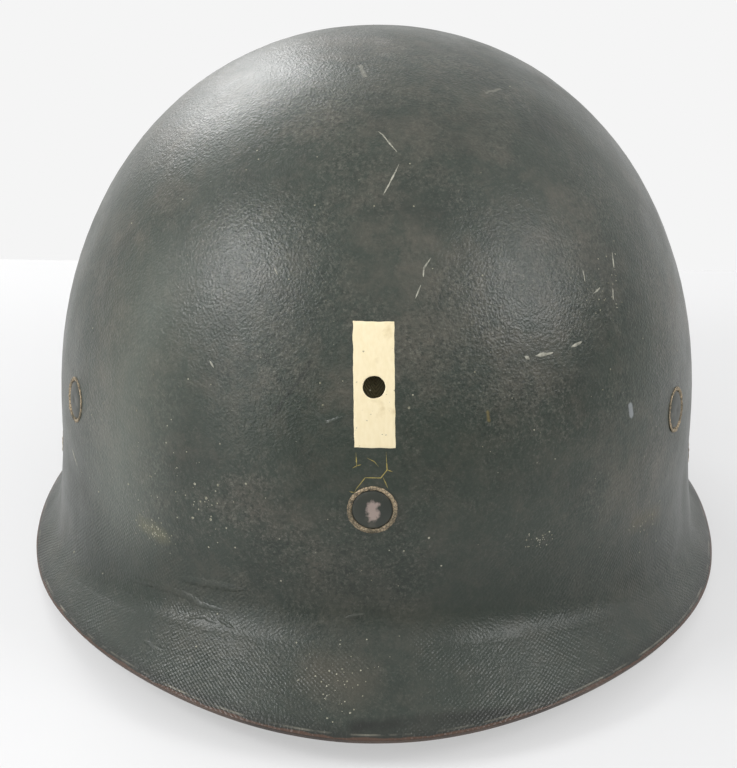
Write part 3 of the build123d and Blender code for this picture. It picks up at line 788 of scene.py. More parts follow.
front_rivet = seat(0, RIVET_HEIGHT).translation
rub = {"Start": front_rivet + Vector((0.2, 0, -1.8)) * MM,
       "End": front_rivet + Vector((0.2, 0, 1.5)) * MM, "Width": 2 * MM, "Soft": 0.5,
       "Ragged": 3.4 * MM, "Grain": 1.6 * MM}
rivet_steel = metal("painted steel rivet", "#2b302a", "#45443b", 0.55, 0.7, 0.0, 0.42, rub)
drab_steel = metal("thin drab paint on pressed steel", "#3d4034", "#6a685c", 0.58, 0.72)
spring_steel = metal("blackened spring steel", "#4b4a45", "#8b8983", 0.5, 0.75, 0.8, 0.42)
buckle_steel = metal("dull pressed steel", "#6b6963", "#8d8a83", 0.5, 0.75, 0.85, 0.45)
black_brass = metal("blackened brass", "#33302a", "#7a6840", 0.56, 0.74, 0.7, 0.45)
print("metal finishes ready; front rivet at", [round(value, 4) for value in front_rivet])

# %% [markdown]
# ## Rivets
# Eleven round heads sit in the recesses, each a single turned profile: a low dome,
# a shank and a clinched end. The studs carry a boss and the head that holds the
# chinstrap loop. The shoulder of each head is rounded, as a stamped one is.

# %% Rivets on the shell
# Depths below the skin: rivet and nape rivet tails, the loop, the stud's head and boss
TAIL_DEPTH, NAPE_TAIL_DEPTH = 8.33 * MM, 5.945 * MM
LOOP_DEPTH, STUD_HEAD_DEPTH, BOSS_DEPTH = 5.865 * MM, 7.415 * MM, 3.3 * MM
# Half outlines in millimetres, as (radius, height)
HEAD = [(2, 0), (6, 0), (6, 0.35), (5.75, 0.62), (5.2, 0.8), (3.6, 1.0), (1.8, 1.08),
        (0.9, 0.95), (0, 0.85)]
TAIL = [(0, -1.2), (2, -1.15), (3.1, -0.8), (3.5, -0.3), (3.5, 0), (2, 0)]
FOOT = [(0, -1.2), (2.6, -1.1), (4.0, -0.8), (4.5, -0.3), (4.5, 0), (2.5, 0)]
BOSS_RADIUS, BOSS_BORE = 4.5 * MM, 2.5 * MM


def outline_at(pairs, lift=0.0):
    """Outline in metres from pairs in millimetres, lifted along the axis."""
    return [(radius * MM, height * MM + lift) for radius, height in pairs]


boss_top, boss_end = RECESS_DEPTH - BOSS_DEPTH, RECESS_DEPTH - LOOP_DEPTH
boss = [(BOSS_BORE, boss_end), (BOSS_RADIUS, boss_end), (BOSS_RADIUS, boss_top),
        (BOSS_BORE, boss_top)]
tails = {"suspension_rivet": outline_at(TAIL, RECESS_DEPTH - TAIL_DEPTH),
         "nape_rivet": outline_at(TAIL, RECESS_DEPTH - NAPE_TAIL_DEPTH),
         "chinstrap_stud": outline_at(FOOT, RECESS_DEPTH - STUD_HEAD_DEPTH) + boss}
seats = {name: [seat(angle, height, RECESS_DEPTH) for angle in angles]
         for name, (angles, height) in FASTENERS.items()}
for name, tail in tails.items():
    shape = turned(tail + outline_at(HEAD), segments=48)
    piece = copies(name + "s", shape, seats[name], rivet_steel)
    on_helmet(piece, "stud_steel" if name == "chinstrap_stud" else "rivet_steel",
              *(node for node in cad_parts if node.startswith(name + "_")))

# %% [markdown]
# ## Cracked paint round the rivets
# Thick paint bridged the gap between each head and its recess. It has gone tan with
# age, cracked, and lifted at its outer edge. Each ring is a thin turned lip, bent
# out of round by noise, so that it catches the light as the real crust does.

# %% Paint crust
CRUST = [(6.0, 0.45), (6.2, 0.8), (6.55, 0.95), (6.95, 0.93), (7.3, 0.72), (6.9, 0.3)]
CRUST_BEND, CRUST_WAVE = 0.22 * MM, 0.8 * MM
# The vector noise starts from the clock unless it is given a seed
noise.seed_set(7)


def crust_material():
    """Aged paint crust: dull tan, cracked through to dark."""
    material, tree, shader = new_material("aged cracked paint crust")
    here = add(tree, PLACES).outputs["Object"]
    cell = add(tree, "ShaderNodeTexVoronoi", {"Vector": here, "Scale": 1 / (0.9 * MM)},
               feature="DISTANCE_TO_EDGE")
    crack = add(tree, RAMP, {"Value": cell, "From Min": 0.0, "From Max": 0.12})
    tan_paint = coats(tree, linear("#5f5744"),
                      (patches(tree, here, 4, 0.3, 0.6, detail=4), "#a8967a"))
    colour = add(tree, BLEND, {"Factor": crack, "A": linear("#3d382c"), "B": tan_paint},
                 data_type="RGBA")
    finish_with(tree, shader, colour, 0.6, crack, 0.6, 0.25)
    return material


crust = crust_material()
for name, places in seats.items():
    shape = turned(outline_at(CRUST), segments=72)
    ring = copies(name + "_crust", shape, places, crust)
    for vertex in ring.data.vertices:
        vertex.co += CRUST_BEND * noise.noise_vector(vertex.co / CRUST_WAVE)
    on_helmet(ring, "shell_laminate")

# %% [markdown]
# ## The painted bar
# A plain cream bar is brushed on over the badge hole. Paint has thickness, so it is
# a thin film of its own on the skin, 0.12 mm proud, with a wavering edge, and the
# hole is cut through it with a slightly larger, chipped outline.

# %% Painted bar
BAR_HALF_WIDTH, BAR_HALF_HEIGHT, BAR_LEAN, BAR_WAVER = 5.9 * MM, 16.6 * MM, 0.03, 0.2 * MM
# Thickness over and under the skin, and the share of it at the thin edge
BAR_FILM, BAR_SUNK, BAR_EDGE = 0.12 * MM, 0.3 * MM, 0.3
# Gap between the paint and the hole, and how far and how finely its edge is chipped
CHIP_GAP, CHIP_BEND, CHIP_WAVE = 0.05 * MM, 0.2 * MM, 2 * MM


def surface(angle, station, lift=0.0):
    """Point of the finished skin, lifted off it."""
    point = skin(angle % 360, station)
    return point + outward(angle, station) * (uneven(point) + lift)


def on_front(x, z):
    """Angle and station of the skin's front at an x and a height."""
    angle = 0.0
    for step in range(8):
        station = station_at(angle, z)
        angle = degrees(asin(x / SIDE.point(station)[0]))
    return angle, station


def outward_faces(piece):
    """The piece with its faces turned outward and its sharp edges marked."""
    mesh = bmesh.new()
    mesh.from_mesh(piece.data)
    bmesh.ops.recalc_face_normals(mesh, faces=mesh.faces)
    mesh.to_mesh(piece.data)
    mesh.free()
    piece.data.set_sharp_from_angle(angle=radians(50))
    return piece


def bar_film(columns=24, rows=66):
    """Closed film over the skin, thin at its edge."""
    points = []
    for lift in (BAR_FILM, -BAR_SUNK):
        for row in range(rows + 1):
            for column in range(columns + 1):
                u, v = 2 * column / columns - 1, 2 * row / rows - 1
                waver = Vector((u * 2, v * 6, 4 * (abs(u) > abs(v))))
                x = u * (BAR_HALF_WIDTH + BAR_WAVER * noise.noise(waver))
                z = v * (BAR_HALF_HEIGHT + BAR_WAVER * noise.noise(waver + Vector((9, 0, 0))))
                angle, station = on_front(x - BAR_LEAN * z, HOLE_HEIGHT + z)
                rim = row in (0, rows) or column in (0, columns)
                points.append(surface(angle, station,
                                      lift * BAR_EDGE if rim and lift > 0 else lift))
    wide, half = columns + 1, (columns + 1) * (rows + 1)
    faces = []
    for row in range(rows):
        for column in range(columns):
            a = row * wide + column
            faces.append((a, a + 1, a + 1 + wide, a + wide))
            faces.append(tuple(half + k for k in (a, a + wide, a + 1 + wide, a + 1)))
    loop = list(range(columns)) + [row * wide + columns for row in range(rows)]
    loop += [rows * wide + column for column in range(columns, 0, -1)]
    loop += [row * wide for row in range(rows, 0, -1)]
    faces += [(a, half + a, half + b, b) for a, b in zip(loop, loop[1:] + loop[:1])]
    return mesh_piece("painted_bar", points, faces)


def bar_material():
    """Brushed cream enamel, streaky along the bar, with chips and fine dirt."""
    material, tree, shader = new_material("brushed cream enamel")
    here = add(tree, PLACES).outputs["Object"]
    along = add(tree, "ShaderNodeMapping", {"Vector": here, "Scale": (1, 1, 0.12)})
    streak = add(tree, NOISE, {"Vector": along, "Scale": 1 / (0.9 * MM), "Detail": 3})
    tint = add(tree, RAMP, {"Value": streak, "From Min": 0.35, "From Max": 0.7,
                            "To Max": 0.5})
    colour = coats(tree, linear("#efe1bd"), (tint, "#e5d5aa"))
    for size, low, high, paint in ((1.4, 0.68, 0.72, "#5d5b4c"), (6, 0.6, 0.72, "#cdb98a")):
        chip = patches(tree, here, size, low, high, 0.7, seed=3.0, detail=4)
        colour = coats(tree, colour, (chip, paint))
    finish_with(tree, shader, colour, 0.45, streak, 0.4, 0.2)
    return material


chip_shape = turned(drum(HOLE_RADIUS + CHIP_GAP, -CUT_REACH / 2, CUT_REACH / 2), segments=40)
chip = joined("chip", [(chip_shape, seat(0, HOLE_HEIGHT))])
for vertex in chip.data.vertices:
    chipped = Vector((vertex.co.x, 0, vertex.co.z)) / CHIP_WAVE
    vertex.co += CHIP_BEND * noise.noise_vector(chipped)
outward_faces(chip)
bar = outward_faces(given(bar_film(), bar_material()))
cut_by(bar, chip)
on_helmet(bar, "shell_laminate")

# %% [markdown]
# ## Scratches, cracks and ridges
# Scratches, yellowed cracks and paint ridges each follow a line on the skin. They
# could be painted into the enamel, but as very low ridges they stay sharp: a section
# is carried along the line, tapers to both ends and wavers.

# %% Lines on the skin
LINE_STEP, LINE_SUNK = 0.7 * MM, 0.04 * MM
# Least share of the width at the ends, share by which the width wavers, and how fast
LEAST_TAPER, LINE_WAVER, WAVER_SIZE = 0.15, 0.6, 1.1 * MM
# Half width in millimetres, then the angles and heights that the line passes
SCRATCHES = [
    (0.28, [(-0.3, 160.4), (1.5, 159.8), (4.5, 157.8), (6.0, 156.7)]),
    (0.26, [(6.3, 154.5), (4.0, 151.8), (1.4, 148.4)]),
    (0.26, [(11.6, 134.6), (9.9, 132.4), (9.6, 130.4)]), (0.2, [(9.0, 128.6), (7.7, 125.4)]),
    (0.34, [(56.0, 124.0), (54.5, 120.3)]), (0.26, [(48.3, 117.7), (46.0, 117.2)]),
    (0.3, [(51.9, 116.0), (50.8, 113.2)]), (0.22, [(45.6, 123.8), (45.0, 120.8)]),
    (0.42, [(37.4, 106.4), (40.1, 106.7)]), (0.5, [(29.6, 107.0), (33.3, 106.5)]),
    (0.7, [(27.5, 107.6), (28.4, 106.5)]), (0.3, [(-67, 50.0), (-63.5, 46.5)]),
    (0.22, [(-21.4, 130.6), (-20.1, 128.8)]), (0.3, [(-30.2, 104.0), (-29.1, 102.5)]),
]
CRACKS = [
    (0.13, [(-2.8, 85.6), (-2.6, 81.6), (-3.3, 80.9)]), (0.11, [(-2.6, 81.6), (-1.9, 82.0)]),
    (0.15, [(2.1, 85.8), (2.3, 80.6), (1.3, 78.2), (-1.2, 78.2), (-2.6, 74.8), (-3.3, 71.6)]),
    (0.15, [(2.3, 80.6), (3.2, 80.0)]), (0.13, [(1.6, 78.6), (2.5, 75.0)]),
    (0.13, [(-3.7, 73.9), (-2.8, 73.6)]), (0.1, [(-1.0, 84.0), (0.2, 83.0), (1.0, 81.4)]),
]
RIDGES = [
    (1.8, [(-33.9, 33.8), (-26.0, 36.1), (-20.2, 37.4)]),
    (1.6, [(-46.0, 24.3), (-37.5, 28.4), (-31.2, 29.5), (-28.4, 28.6), (-23.3, 29.5)]),
    (0.9, [(-30.8, 23.7), (-27.3, 26.2), (-24.7, 25.7)]), (1.0, [(-37.5, 16.7), (-33.1, 17.4)]),
    (0.9, [(-4.0, 33.5), (-0.8, 34.9)]), (0.8, [(-10.2, 96.9), (-7.9, 92.9), (-4.8, 95.5)]),
    (0.8, [(-25.0, 27.0), (-21.5, 26.0)]),
]


def tube_faces(rings, ring, closed=False):
    """Faces of a tube of rings of points; an open one is capped at both ends."""
    faces = []
    for k in range(rings if closed else rings - 1):
        near, far = k * ring, (k + 1) % rings * ring
        faces += [(near + j, far + j, far + (j + 1) % ring, near + (j + 1) % ring)
                  for j in range(ring)]
    if not closed:
        last = (rings - 1) * ring
        faces += [tuple(range(ring)), tuple(last + j for j in reversed(range(ring)))]
    return faces


def line_shape(places, half_width, rise, section):
    """Points and faces of a tapered ridge along places on the skin."""
    line = []
    for start, end in zip(places, places[1:]):
        steps = max(2, round((spot(*end) - spot(*start)).length / LINE_STEP))
        line += [tuple(a + (b - a) * k / steps for a, b in zip(start, end))
                 for k in range(steps)]
    line.append(places[-1])
    line = [(angle, station_at(angle % 360, height * MM)) for angle, height in line]
    middles = [surface(angle, station) for angle, station in line]
    points, last = [], len(line) - 1
    for k, (angle, station) in enumerate(line):
        out = outward(angle, station)
        along = (middles[min(k + 1, last)] - middles[max(k - 1, 0)]).normalized()
        taper = max(1 - abs(2 * k / last - 1) ** 3, LEAST_TAPER)
        waver = 1 + LINE_WAVER * noise.noise(middles[k] / WAVER_SIZE)
        aside = along.cross(out) * (half_width * taper * waver)
        points += [middles[k] + aside * across
                   + out * (up * rise * taper if up > 0 else -LINE_SUNK)
                   for across, up in section]
    return points, tube_faces(len(line), len(section))


def plain_finish(name, colour, other, roughness=0.6):
    """A plain finish that noise varies between two colours."""
    material, tree, shader = new_material(name)
    here = add(tree, PLACES).outputs["Object"]
    cloud = patches(tree, here, 1.2, 0.35, 0.65)
    tone = coats(tree, linear(colour), (cloud, other))
    finish_with(tree, shader, tone, roughness, cloud, 0.2, 0.1)
    return material


# Sections as (across, up): a flat one for thin marks, a round one for thick paint
FLAT = [(-1, -1), (-0.7, 1), (0, 1), (0.7, 1), (1, -1)]
ROUND = [(-1, -1), (-0.75, 0.25), (-0.4, 0.75), (0, 1), (0.4, 0.75), (0.75, 0.25), (1, -1)]
PAST_RIM = 20 * MM
undercoat = plain_finish("scratched undercoat", "#aaa89a", "#75756a")
yellowed = plain_finish("yellowed varnish in cracks", "#a3934f", "#6e6a45")
for name, lines, rise, section, material in (
        ("scratches", SCRATCHES, 0.03, FLAT, undercoat),
        ("yellow_cracks", CRACKS, 0.04, FLAT, yellowed),
        ("paint_ridges", RIDGES, 0.26, ROUND, enamel)):
    shapes = [(line_shape(places, width * MM, rise * MM, section), Matrix())
              for width, places in lines]
    piece = outward_faces(given(joined(name, shapes), material))
    # The enamel reads how far a point is from the rim, which these are well past
    for item in piece.data.uv_layers.new(name="UVMap").data:
        item.uv = (0, PAST_RIM)
    on_helmet(piece, "shell_laminate")

# %% [markdown]
# ## Specks
# Specks of old paint are too many to place by hand. The clear ones sit at known
# places, the rest are scattered with a fixed seed, alone and in clusters, and the
# copies tree puts a small flake on each.

# %% Specks of old paint
SPECK_COUNT, SPECK_SEED = 260, 7
SPECK_RADII = (0.12, 0.16, 0.22, 0.3)
SPECK_HEIGHTS, CLUSTER_RADII = (20, 164), (0.12, 0.34)
# Angle and height of the specks that stand out, with their radius in millimetres
SPECKS = [
    (-54.6, 46.4, 0.4), (-45.3, 57.2, 0.4), (-30.3, 67.5, 0.5), (-29.1, 62.5, 0.4),
    (-28.0, 64.2, 0.55), (-30.6, 56.2, 0.5), (-27.1, 57.7, 0.5), (-25.9, 69.4, 0.45),
    (-20.9, 72.0, 0.4), (-22.6, 50.6, 0.3), (-63.5, 15.6, 0.5), (-27.5, 20.5, 0.35),
    (9.1, 59.2, 0.4), (27.6, 87.0, 0.3), (-9.3, 103.8, 0.35), (-8.6, 98.0, 0.35),
    (5.9, 97.9, 0.45), (6.6, 101.3, 0.3), (17.7, 105.9, 0.3), (46.5, 112.5, 0.35),
]
# Angle, height, spread and number of the clusters
CLUSTERS = [(-34, 62, 8, 40), (-39.8, 46, 2, 60), (27.8, 52.4, 1.9, 26), (54.5, 40.6, 2.4, 20),
            (-4, 20, 3.4, 50), (50, 118, 4, 24)]
FLAKE = [(0, -0.2), (1, -0.2), (0.8, 0.08), (0, 0.14)]

chance = random.Random(SPECK_SEED)
chosen = list(SPECKS)
for k in range(SPECK_COUNT):
    chosen.append((chance.uniform(-180, 180), chance.uniform(*SPECK_HEIGHTS),
                   chance.choice(SPECK_RADII)))
for angle, height, spread, count in CLUSTERS:
    for k in range(count):
        chosen.append((angle + chance.gauss(0, spread), height + chance.gauss(0, spread),
                       chance.uniform(*CLUSTER_RADII)))
places = []
for angle, height, radius in chosen:
    place = seat(angle % 360, height * MM)
    place.translation = surface(angle, station_at(angle % 360, height * MM))
    turn = Matrix.Rotation(chance.uniform(0, 2 * pi), 4, "Z")
    places.append(place @ turn @ Matrix.Scale(radius * MM, 4))
old_paint = plain_finish("specks of old pale paint", "#a3a190", "#716f5c")
flake = turned(FLAKE, segments=6)
on_helmet(copies("paint_specks", flake, places, old_paint), "shell_laminate")
print("specks:", len(places))

# %% [markdown]
# ## Tools for bands
# Webbing and leather are flat along their length and bend only across it. They could
# be curves with a flat profile, but two edge lines give a band its lean as well. Rows
# of faces run between the lines, with a back face and rounded edges. The UV map runs
# in metres along and across the band, so a twill always follows it.

# %% Bands between two edge lines
WEB_THICKNESS = 1.4 * MM


def band_piece(name, low, high, thickness, closed, rows=6):
    """Band with rounded edges between two edge lines of its middle plane."""
    tall, count = (high[0] - low[0]).length, len(low)
    rim = thickness / 2 / tall
    shares = [rim + (1 - 2 * rim) * row / rows for row in range(rows + 1)]
    outline = [(0, 0.0)] + [(share, 0.5) for share in shares] + [(1, 0.0)]
    outline += [(share, -0.5) for share in reversed(shares)]
    middles = [(a + b) / 2 for a, b in zip(low, high)]
    points, girth = [], [0.0]
    for k in range(count):
        before = middles[k - 1] if k or closed else middles[0]
        after = middles[(k + 1) % count] if closed else middles[min(k + 1, count - 1)]
        out = (after - before).cross(high[k] - low[k]).normalized() * thickness
        points += [low[k].lerp(high[k], share) + out * layer for share, layer in outline]
        girth.append(girth[-1] + (after - middles[k]).length)
    ring = len(outline)
    uvs = [(girth[k + along], outline[(j + across) % ring][0] * tall)
           for k in range(count if closed else count - 1) for j in range(ring)
           for along, across in ((0, 0), (1, 0), (1, 1), (0, 1))]
    if not closed:
        uvs += [(0.0, share * tall) for share, layer in outline]
        uvs += [(girth[-1], share * tall) for share, layer in reversed(outline)]
    piece = mesh_piece(name, points, tube_faces(count, ring, closed))
    layer = piece.data.uv_layers.new(name="UVMap")
    for item, uv in zip(layer.data, uvs):
        item.uv = uv
    return outward_faces(piece)


def rounded(corners, radius, closed=True, steps=6, straight=4):
    """Corner points joined by straight runs, with each corner rounded."""
    count, arcs = len(corners), []
    for k, corner in enumerate(corners):
        if not closed and k in (0, count - 1):
            arcs.append([corner])
            continue
        before = (corners[k - 1] - corner).normalized()
        after = (corners[(k + 1) % count] - corner).normalized()
        half = before.angle(after) / 2
        centre = corner + (before + after).normalized() * (radius / sin(half))
        start, stop = (corner + way * (radius / tan(half)) - centre for way in (before, after))
        arcs.append([centre + start.slerp(stop, step / steps) * radius
                     for step in range(steps + 1)])
    points = []
    for k, arc in enumerate(arcs):
        points += arc
        if k + 1 < count or closed:
            goal = arcs[(k + 1) % count][0]
            points += [arc[-1].lerp(goal, step / straight) for step in range(1, straight)]
    return points


def level_point(place, across, height, depth):
    """Point of a seat's plane, moved inward by a depth, at a height."""
    x, y, z = (place.col[k].to_3d() for k in range(3))
    base = place.translation - z * depth + x * across
    return base + y * ((height - base.z) / y.z)


print("band tools ready")

# %% [markdown]
# ## Herringbone tape
# The suspension is khaki cotton tape, 1.4 mm thick, woven in a herringbone: diagonal
# ribs that turn back every few millimetres. A triangle wave across the tape bends
# the ribs, which are a little coarser than real ones so that they show. A fine fuzz
# and slow stains break the colour.

# %% Cotton tape
RIB_PITCH, HERRINGBONE_WIDTH, RIB_SLANT = 1.2 * MM, 7 * MM, 1.4


def web_material():
    """Khaki herringbone cotton tape: dull, ribbed and a little fuzzy."""
    material, tree, shader = new_material("khaki herringbone cotton tape")
    place = add(tree, PLACES).outputs
    axes = add(tree, SPLIT, {0: place["UV"]}).outputs
    fold = add(tree, MATH, {0: axes["Y"], 1: HERRINGBONE_WIDTH / 2}, operation="PINGPONG")
    slant = add(tree, MATH, {0: fold, 1: RIB_SLANT, 2: axes["X"]}, operation="MULTIPLY_ADD")
    ribs = add(tree, MATH, {0: slant, 1: 2 * pi / RIB_PITCH}, operation="MULTIPLY")
    ribs = add(tree, MATH, {0: ribs}, operation="SINE")
    ribs = add(tree, RAMP, {"Value": ribs, "From Min": -1})
    colour, relief = coats(tree, linear("#6f6748"), (ribs, "#948a66")), ribs
    for size, low, high, most, tint in ((24, 0.42, 0.7, 0.5, "#5d5338"),
                                        (0.6, 0.4, 0.8, 0.35, "#a89d7a")):
        cloud = add(tree, NOISE, {"Vector": place["Object"], "Detail": 3,
                                  "Scale": 1 / (size * MM)})
        share = add(tree, RAMP, {"Value": cloud, "From Min": low, "From Max": high,
                                 "To Max": most})
        colour = coats(tree, colour, (share, tint))
        relief = add(tree, MATH, {0: cloud, 1: 0.6, 2: relief}, operation="MULTIPLY_ADD")
    finish_with(tree, shader, colour, 0.9, relief, 0.7, 0.25)
    shader.inputs["Sheen Weight"].default_value = 0.2
    return material


web = web_material()
print("web material:", web.name)

# %% [markdown]
# ## Suspension band
# One level band runs round the head, held at the six rivets, and the sweatband is
# clipped to it. It could be an oval, but webbing lies straight between rivets and
# bends beside them, so its plan is a polygon with rounded corners, two at each rivet.

# %% Suspension web band
BAND_DEPTH, STRAP_DEPTH = 4.53 * MM, 5.93 * MM
BAND_HEIGHT, STRAP_WIDTH, BAND_BEND, BAND_SEAT = 24 * MM, 20 * MM, 18 * MM, 26 * MM


def band_corners(height, depth):
    """Corners of the web band's plan, two at each suspension rivet."""
    half = BAND_SEAT / 2 + BAND_BEND * tan(pi / 12)
    return [level_point(seat(angle, RIVET_HEIGHT), across, height, depth)
            for angle in SUSPENSION_ANGLES for across in (-half, half)]


middle_depth = BAND_DEPTH + WEB_THICKNESS / 2
edges = [rounded(band_corners(RIVET_HEIGHT + side * BAND_HEIGHT / 2, middle_depth),
                 BAND_BEND - WEB_THICKNESS / 2) for side in (-1, 1)]
on_helmet(given(band_piece("suspension_band", *edges, WEB_THICKNESS, True), web),
          "cotton_web", "suspension_web_band")

# %% [markdown]
# ## Crown straps
# Each of three straps runs from a rivet up over the head to the opposite one, and
# they cross under the crown. Their height eases from the wall to a gap that keeps
# the head off the shell, by the same rule as the construction model.

# %% Crown straps
CROWN_GAP, STRAP_GAP, STRAP_END, STRAP_STEPS = 21 * MM, 0.6 * MM, 31 * MM, 14


def strap_edges(angle, order):
    """The two edge lines of a crown strap, from one rivet to the opposite one."""
    ends = [(seat(angle, RIVET_HEIGHT, STRAP_DEPTH), angle, 1),
            (seat(angle + 180, RIVET_HEIGHT, STRAP_DEPTH), angle + 180, -1)]
    chord = ends[0][0].translation - ends[1][0].translation
    level = Vector((-chord.y, chord.x, 0)).normalized()
    crown_depth = SHELL_THICKNESS + CROWN_GAP + order * (WEB_THICKNESS + STRAP_GAP)
    start = station_at(angle, RIVET_HEIGHT + STRAP_END / 2)
    half, halves = WEB_THICKNESS / 2, []
    for place, own_angle, sign in ends:
        own = place.col[0].to_3d() * sign
        line = [(place @ Vector((0, up, -half)), own)
                for up in (-STRAP_END / 2, 0, STRAP_END / 2)]
        for step in range(1, STRAP_STEPS):
            share = 1 - step / STRAP_STEPS
            ease = (1 - share) ** 2 * (1 + 2 * share)
            depth = STRAP_DEPTH + (crown_depth - STRAP_DEPTH) * ease + half
            way = (level * (1 - share) + own * share).normalized()
            line.append((skin(own_angle % 360, start * share, depth), way))
        halves.append(line)
    crown = (Vector((0, MIDDLE_Y, CROWN_HEIGHT - crown_depth - half)), level)
    line = halves[0] + [crown] + halves[1][::-1]
    return [[point + way * (side * STRAP_WIDTH / 2) for point, way in line]
            for side in (-1, 1)]


for order, (place, angle) in enumerate((("front", 0), ("front_left", 65.5),
                                        ("rear_left", 114.5))):
    strap = band_piece(f"strap_{place}", *strap_edges(angle, order), WEB_THICKNESS, False)
    on_helmet(given(strap, web), "cotton_web", f"crown_strap_{place}")

# %% [markdown]
# ## Nape strap and tab
# A web strap crosses the rear low down, between two rivets, and bows in to sit on
# the nape. A short tab from the middle rivet folds round and snaps on to it.

# %% Nape strap and tab
NAPE_DEPTH, NAPE_BOW, NAPE_WIDTH, NAPE_BEND = 3.545 * MM, 16 * MM, 20 * MM, 10 * MM
TAB_WIDTH, TAB_DROP, TAB_BEND, TAB_GAP = 16 * MM, 9 * MM, 3 * MM, 0.15 * MM
NAPE_SEAT = 18 * MM


def nape_edge(height):
    """Middle line of the nape strap at a height, from left to right."""
    half = NAPE_SEAT / 2
    bent = half + NAPE_BEND * tan(pi / 12)
    points = []
    for angle, reach in zip(NAPE_ANGLES, ((-half, bent), (-bent, bent), (-bent, half))):
        depth = NAPE_DEPTH + WEB_THICKNESS / 2 + (NAPE_BOW if angle == 180 else 0)
        points += [level_point(seat(angle, NAPE_HEIGHT), across, height, depth)
                   for across in reach]
    return rounded(points, NAPE_BEND, False)


nape = [nape_edge(NAPE_HEIGHT + side * NAPE_WIDTH / 2) for side in (-1, 1)]
on_helmet(given(band_piece("nape_band", *nape, WEB_THICKNESS, False), web), "cotton_web",
          "nape_strap")
rear, half = seat(180, NAPE_HEIGHT, NAPE_DEPTH), WEB_THICKNESS / 2
fold_low, fold_in = -NAPE_WIDTH / 2 - TAB_DROP + half, -(NAPE_BOW - TAB_GAP) + half
profile = rounded([Vector((0, NAPE_WIDTH / 2, -half)), Vector((0, fold_low, -half)),
                   Vector((0, fold_low, fold_in)), Vector((0, NAPE_WIDTH / 2, fold_in))],
                  TAB_BEND - half, False)
fold = [[rear @ (point + Vector((side * TAB_WIDTH / 2, 0, 0))) for point in profile]
        for side in (-1, 1)]
on_helmet(given(band_piece("nape_fold", *fold, WEB_THICKNESS, False), web), "cotton_web",
          "nape_tab")

# %% [markdown]
# ## Sweatband
# The sweatband is soft brown leather, folded and pressed round the head. It is a
# closed oval of two half ellipses that leans with the web. Leather has pebbled
# grain, darker and shinier where the head rubs it. Thread runs along both edges, so
# points along the oval carry one stitch each.

# %% Sweatband and its stitches
SWEATBAND_THICKNESS = 2.4 * MM
# Height of each level, then half width, middle, front and rear of the oval there
SWEATBAND_LEVELS = [(43, 97.07, 9.09, 92.61, 113.13), (79, 93.26, 9.12, 89.16, 109.56)]
STITCH_PITCH, STITCH_INSET = 3.6 * MM, 3 * MM
STITCH = [(0, -1.25), (0.24, -1.05), (0.3, 0), (0.24, 1.05), (0, 1.25)]


def leather_material():
    """Vegetable-tanned leather: pebbled, darker and shinier where it is rubbed."""
    material, tree, shader = new_material("vegetable-tanned sweatband leather")
    here = add(tree, PLACES).outputs["Object"]
    pebble = add(tree, "ShaderNodeTexVoronoi", {"Vector": here, "Scale": 1 / (1.2 * MM)},
                 feature="DISTANCE_TO_EDGE")
    crease = add(tree, RAMP, {"Value": pebble, "From Max": 0.25})
    colour = linear("#6b452b")
    for size, seed, low, high, most, tint in ((20, 2.0, 0.35, 0.7, 1.0, "#7d5535"),
                                              (45, 6.0, 0.45, 0.65, 0.6, "#3f281a")):
        cloud = patches(tree, here, size, low, high, most, seed=seed, detail=4)
        colour = coats(tree, colour, (cloud, tint))
    rough = add(tree, RAMP, {"Value": cloud, "To Min": 0.56, "To Max": 0.38})
    finish_with(tree, shader, colour, rough, crease, 0.45, 0.2)
    return material


def thread_material():
    """Waxed linen thread: pale, and twisted too finely to show."""
    material, tree, shader = new_material("waxed linen thread")
    here = add(tree, PLACES).outputs["Object"]
    cloud = add(tree, NOISE, {"Vector": here, "Scale": 1 / (0.4 * MM)})
    colour = coats(tree, linear("#8a7a58"), (cloud, "#b5a784"))
    finish_with(tree, shader, colour, 0.7, cloud, 0.3, 0.1)
    return material


def oval(level, count=240):
    """Middle line of the sweatband at a level, of two half ellipses."""
    height, across, centre, front, rear_end = (value * MM for value in level)
    inset, line = SWEATBAND_THICKNESS / 2, []
    for k in range(count):
        turn = 2 * pi * k / count
        reach = (front + centre if cos(turn) > 0 else rear_end - centre) - inset
        line.append(Vector(((across - inset) * sin(turn), centre - reach * cos(turn), height)))
    return line


def stitch_places(low, high):
    """Matrices of the stitches on both faces, along both edges of the band."""
    places, tall = [], (high[0] - low[0]).length
    for share in (STITCH_INSET / tall, 1 - STITCH_INSET / tall):
        line = [a.lerp(b, share) for a, b in zip(low, high)]
        line.append(line[0])
        walked, due = 0.0, 0.0
        for k in range(len(line) - 1):
            step = line[k + 1] - line[k]
            while due < walked + step.length:
                point = line[k] + step * ((due - walked) / step.length)
                along = step.normalized()
                out = along.cross(high[k] - low[k]).normalized()
                for face in (-1, 1):
                    place = Matrix((along, (face * out).cross(along), face * out))
                    place = place.transposed().to_4x4()
                    place.translation = point + out * (face * SWEATBAND_THICKNESS / 2)
                    places.append(place)
                due += STITCH_PITCH
            walked += step.length
    return places


low, high = (oval(level) for level in SWEATBAND_LEVELS)
sweatband = band_piece("leather_sweatband", low, high, SWEATBAND_THICKNESS, True, 10)
on_helmet(given(sweatband, leather_material()), "sweatband_leather", "sweatband")
points, faces = turned(outline_at(STITCH), segments=8)
stitch = [(z, x, y) for x, y, z in points], faces
stitches = copies("sweatband_stitches", stitch, stitch_places(low, high), thread_material())
on_helmet(stitches, "sweatband_leather")
print("stitches:", len(stitches.data.polygons) // len(faces))

# %% [markdown]
# ## Small metal parts
# Washers, clips, buckle, snap and loops are crisp pressings. They could be made
# again here, but the construction model already has them right, so they stay and
# only get the finish of their real metal.

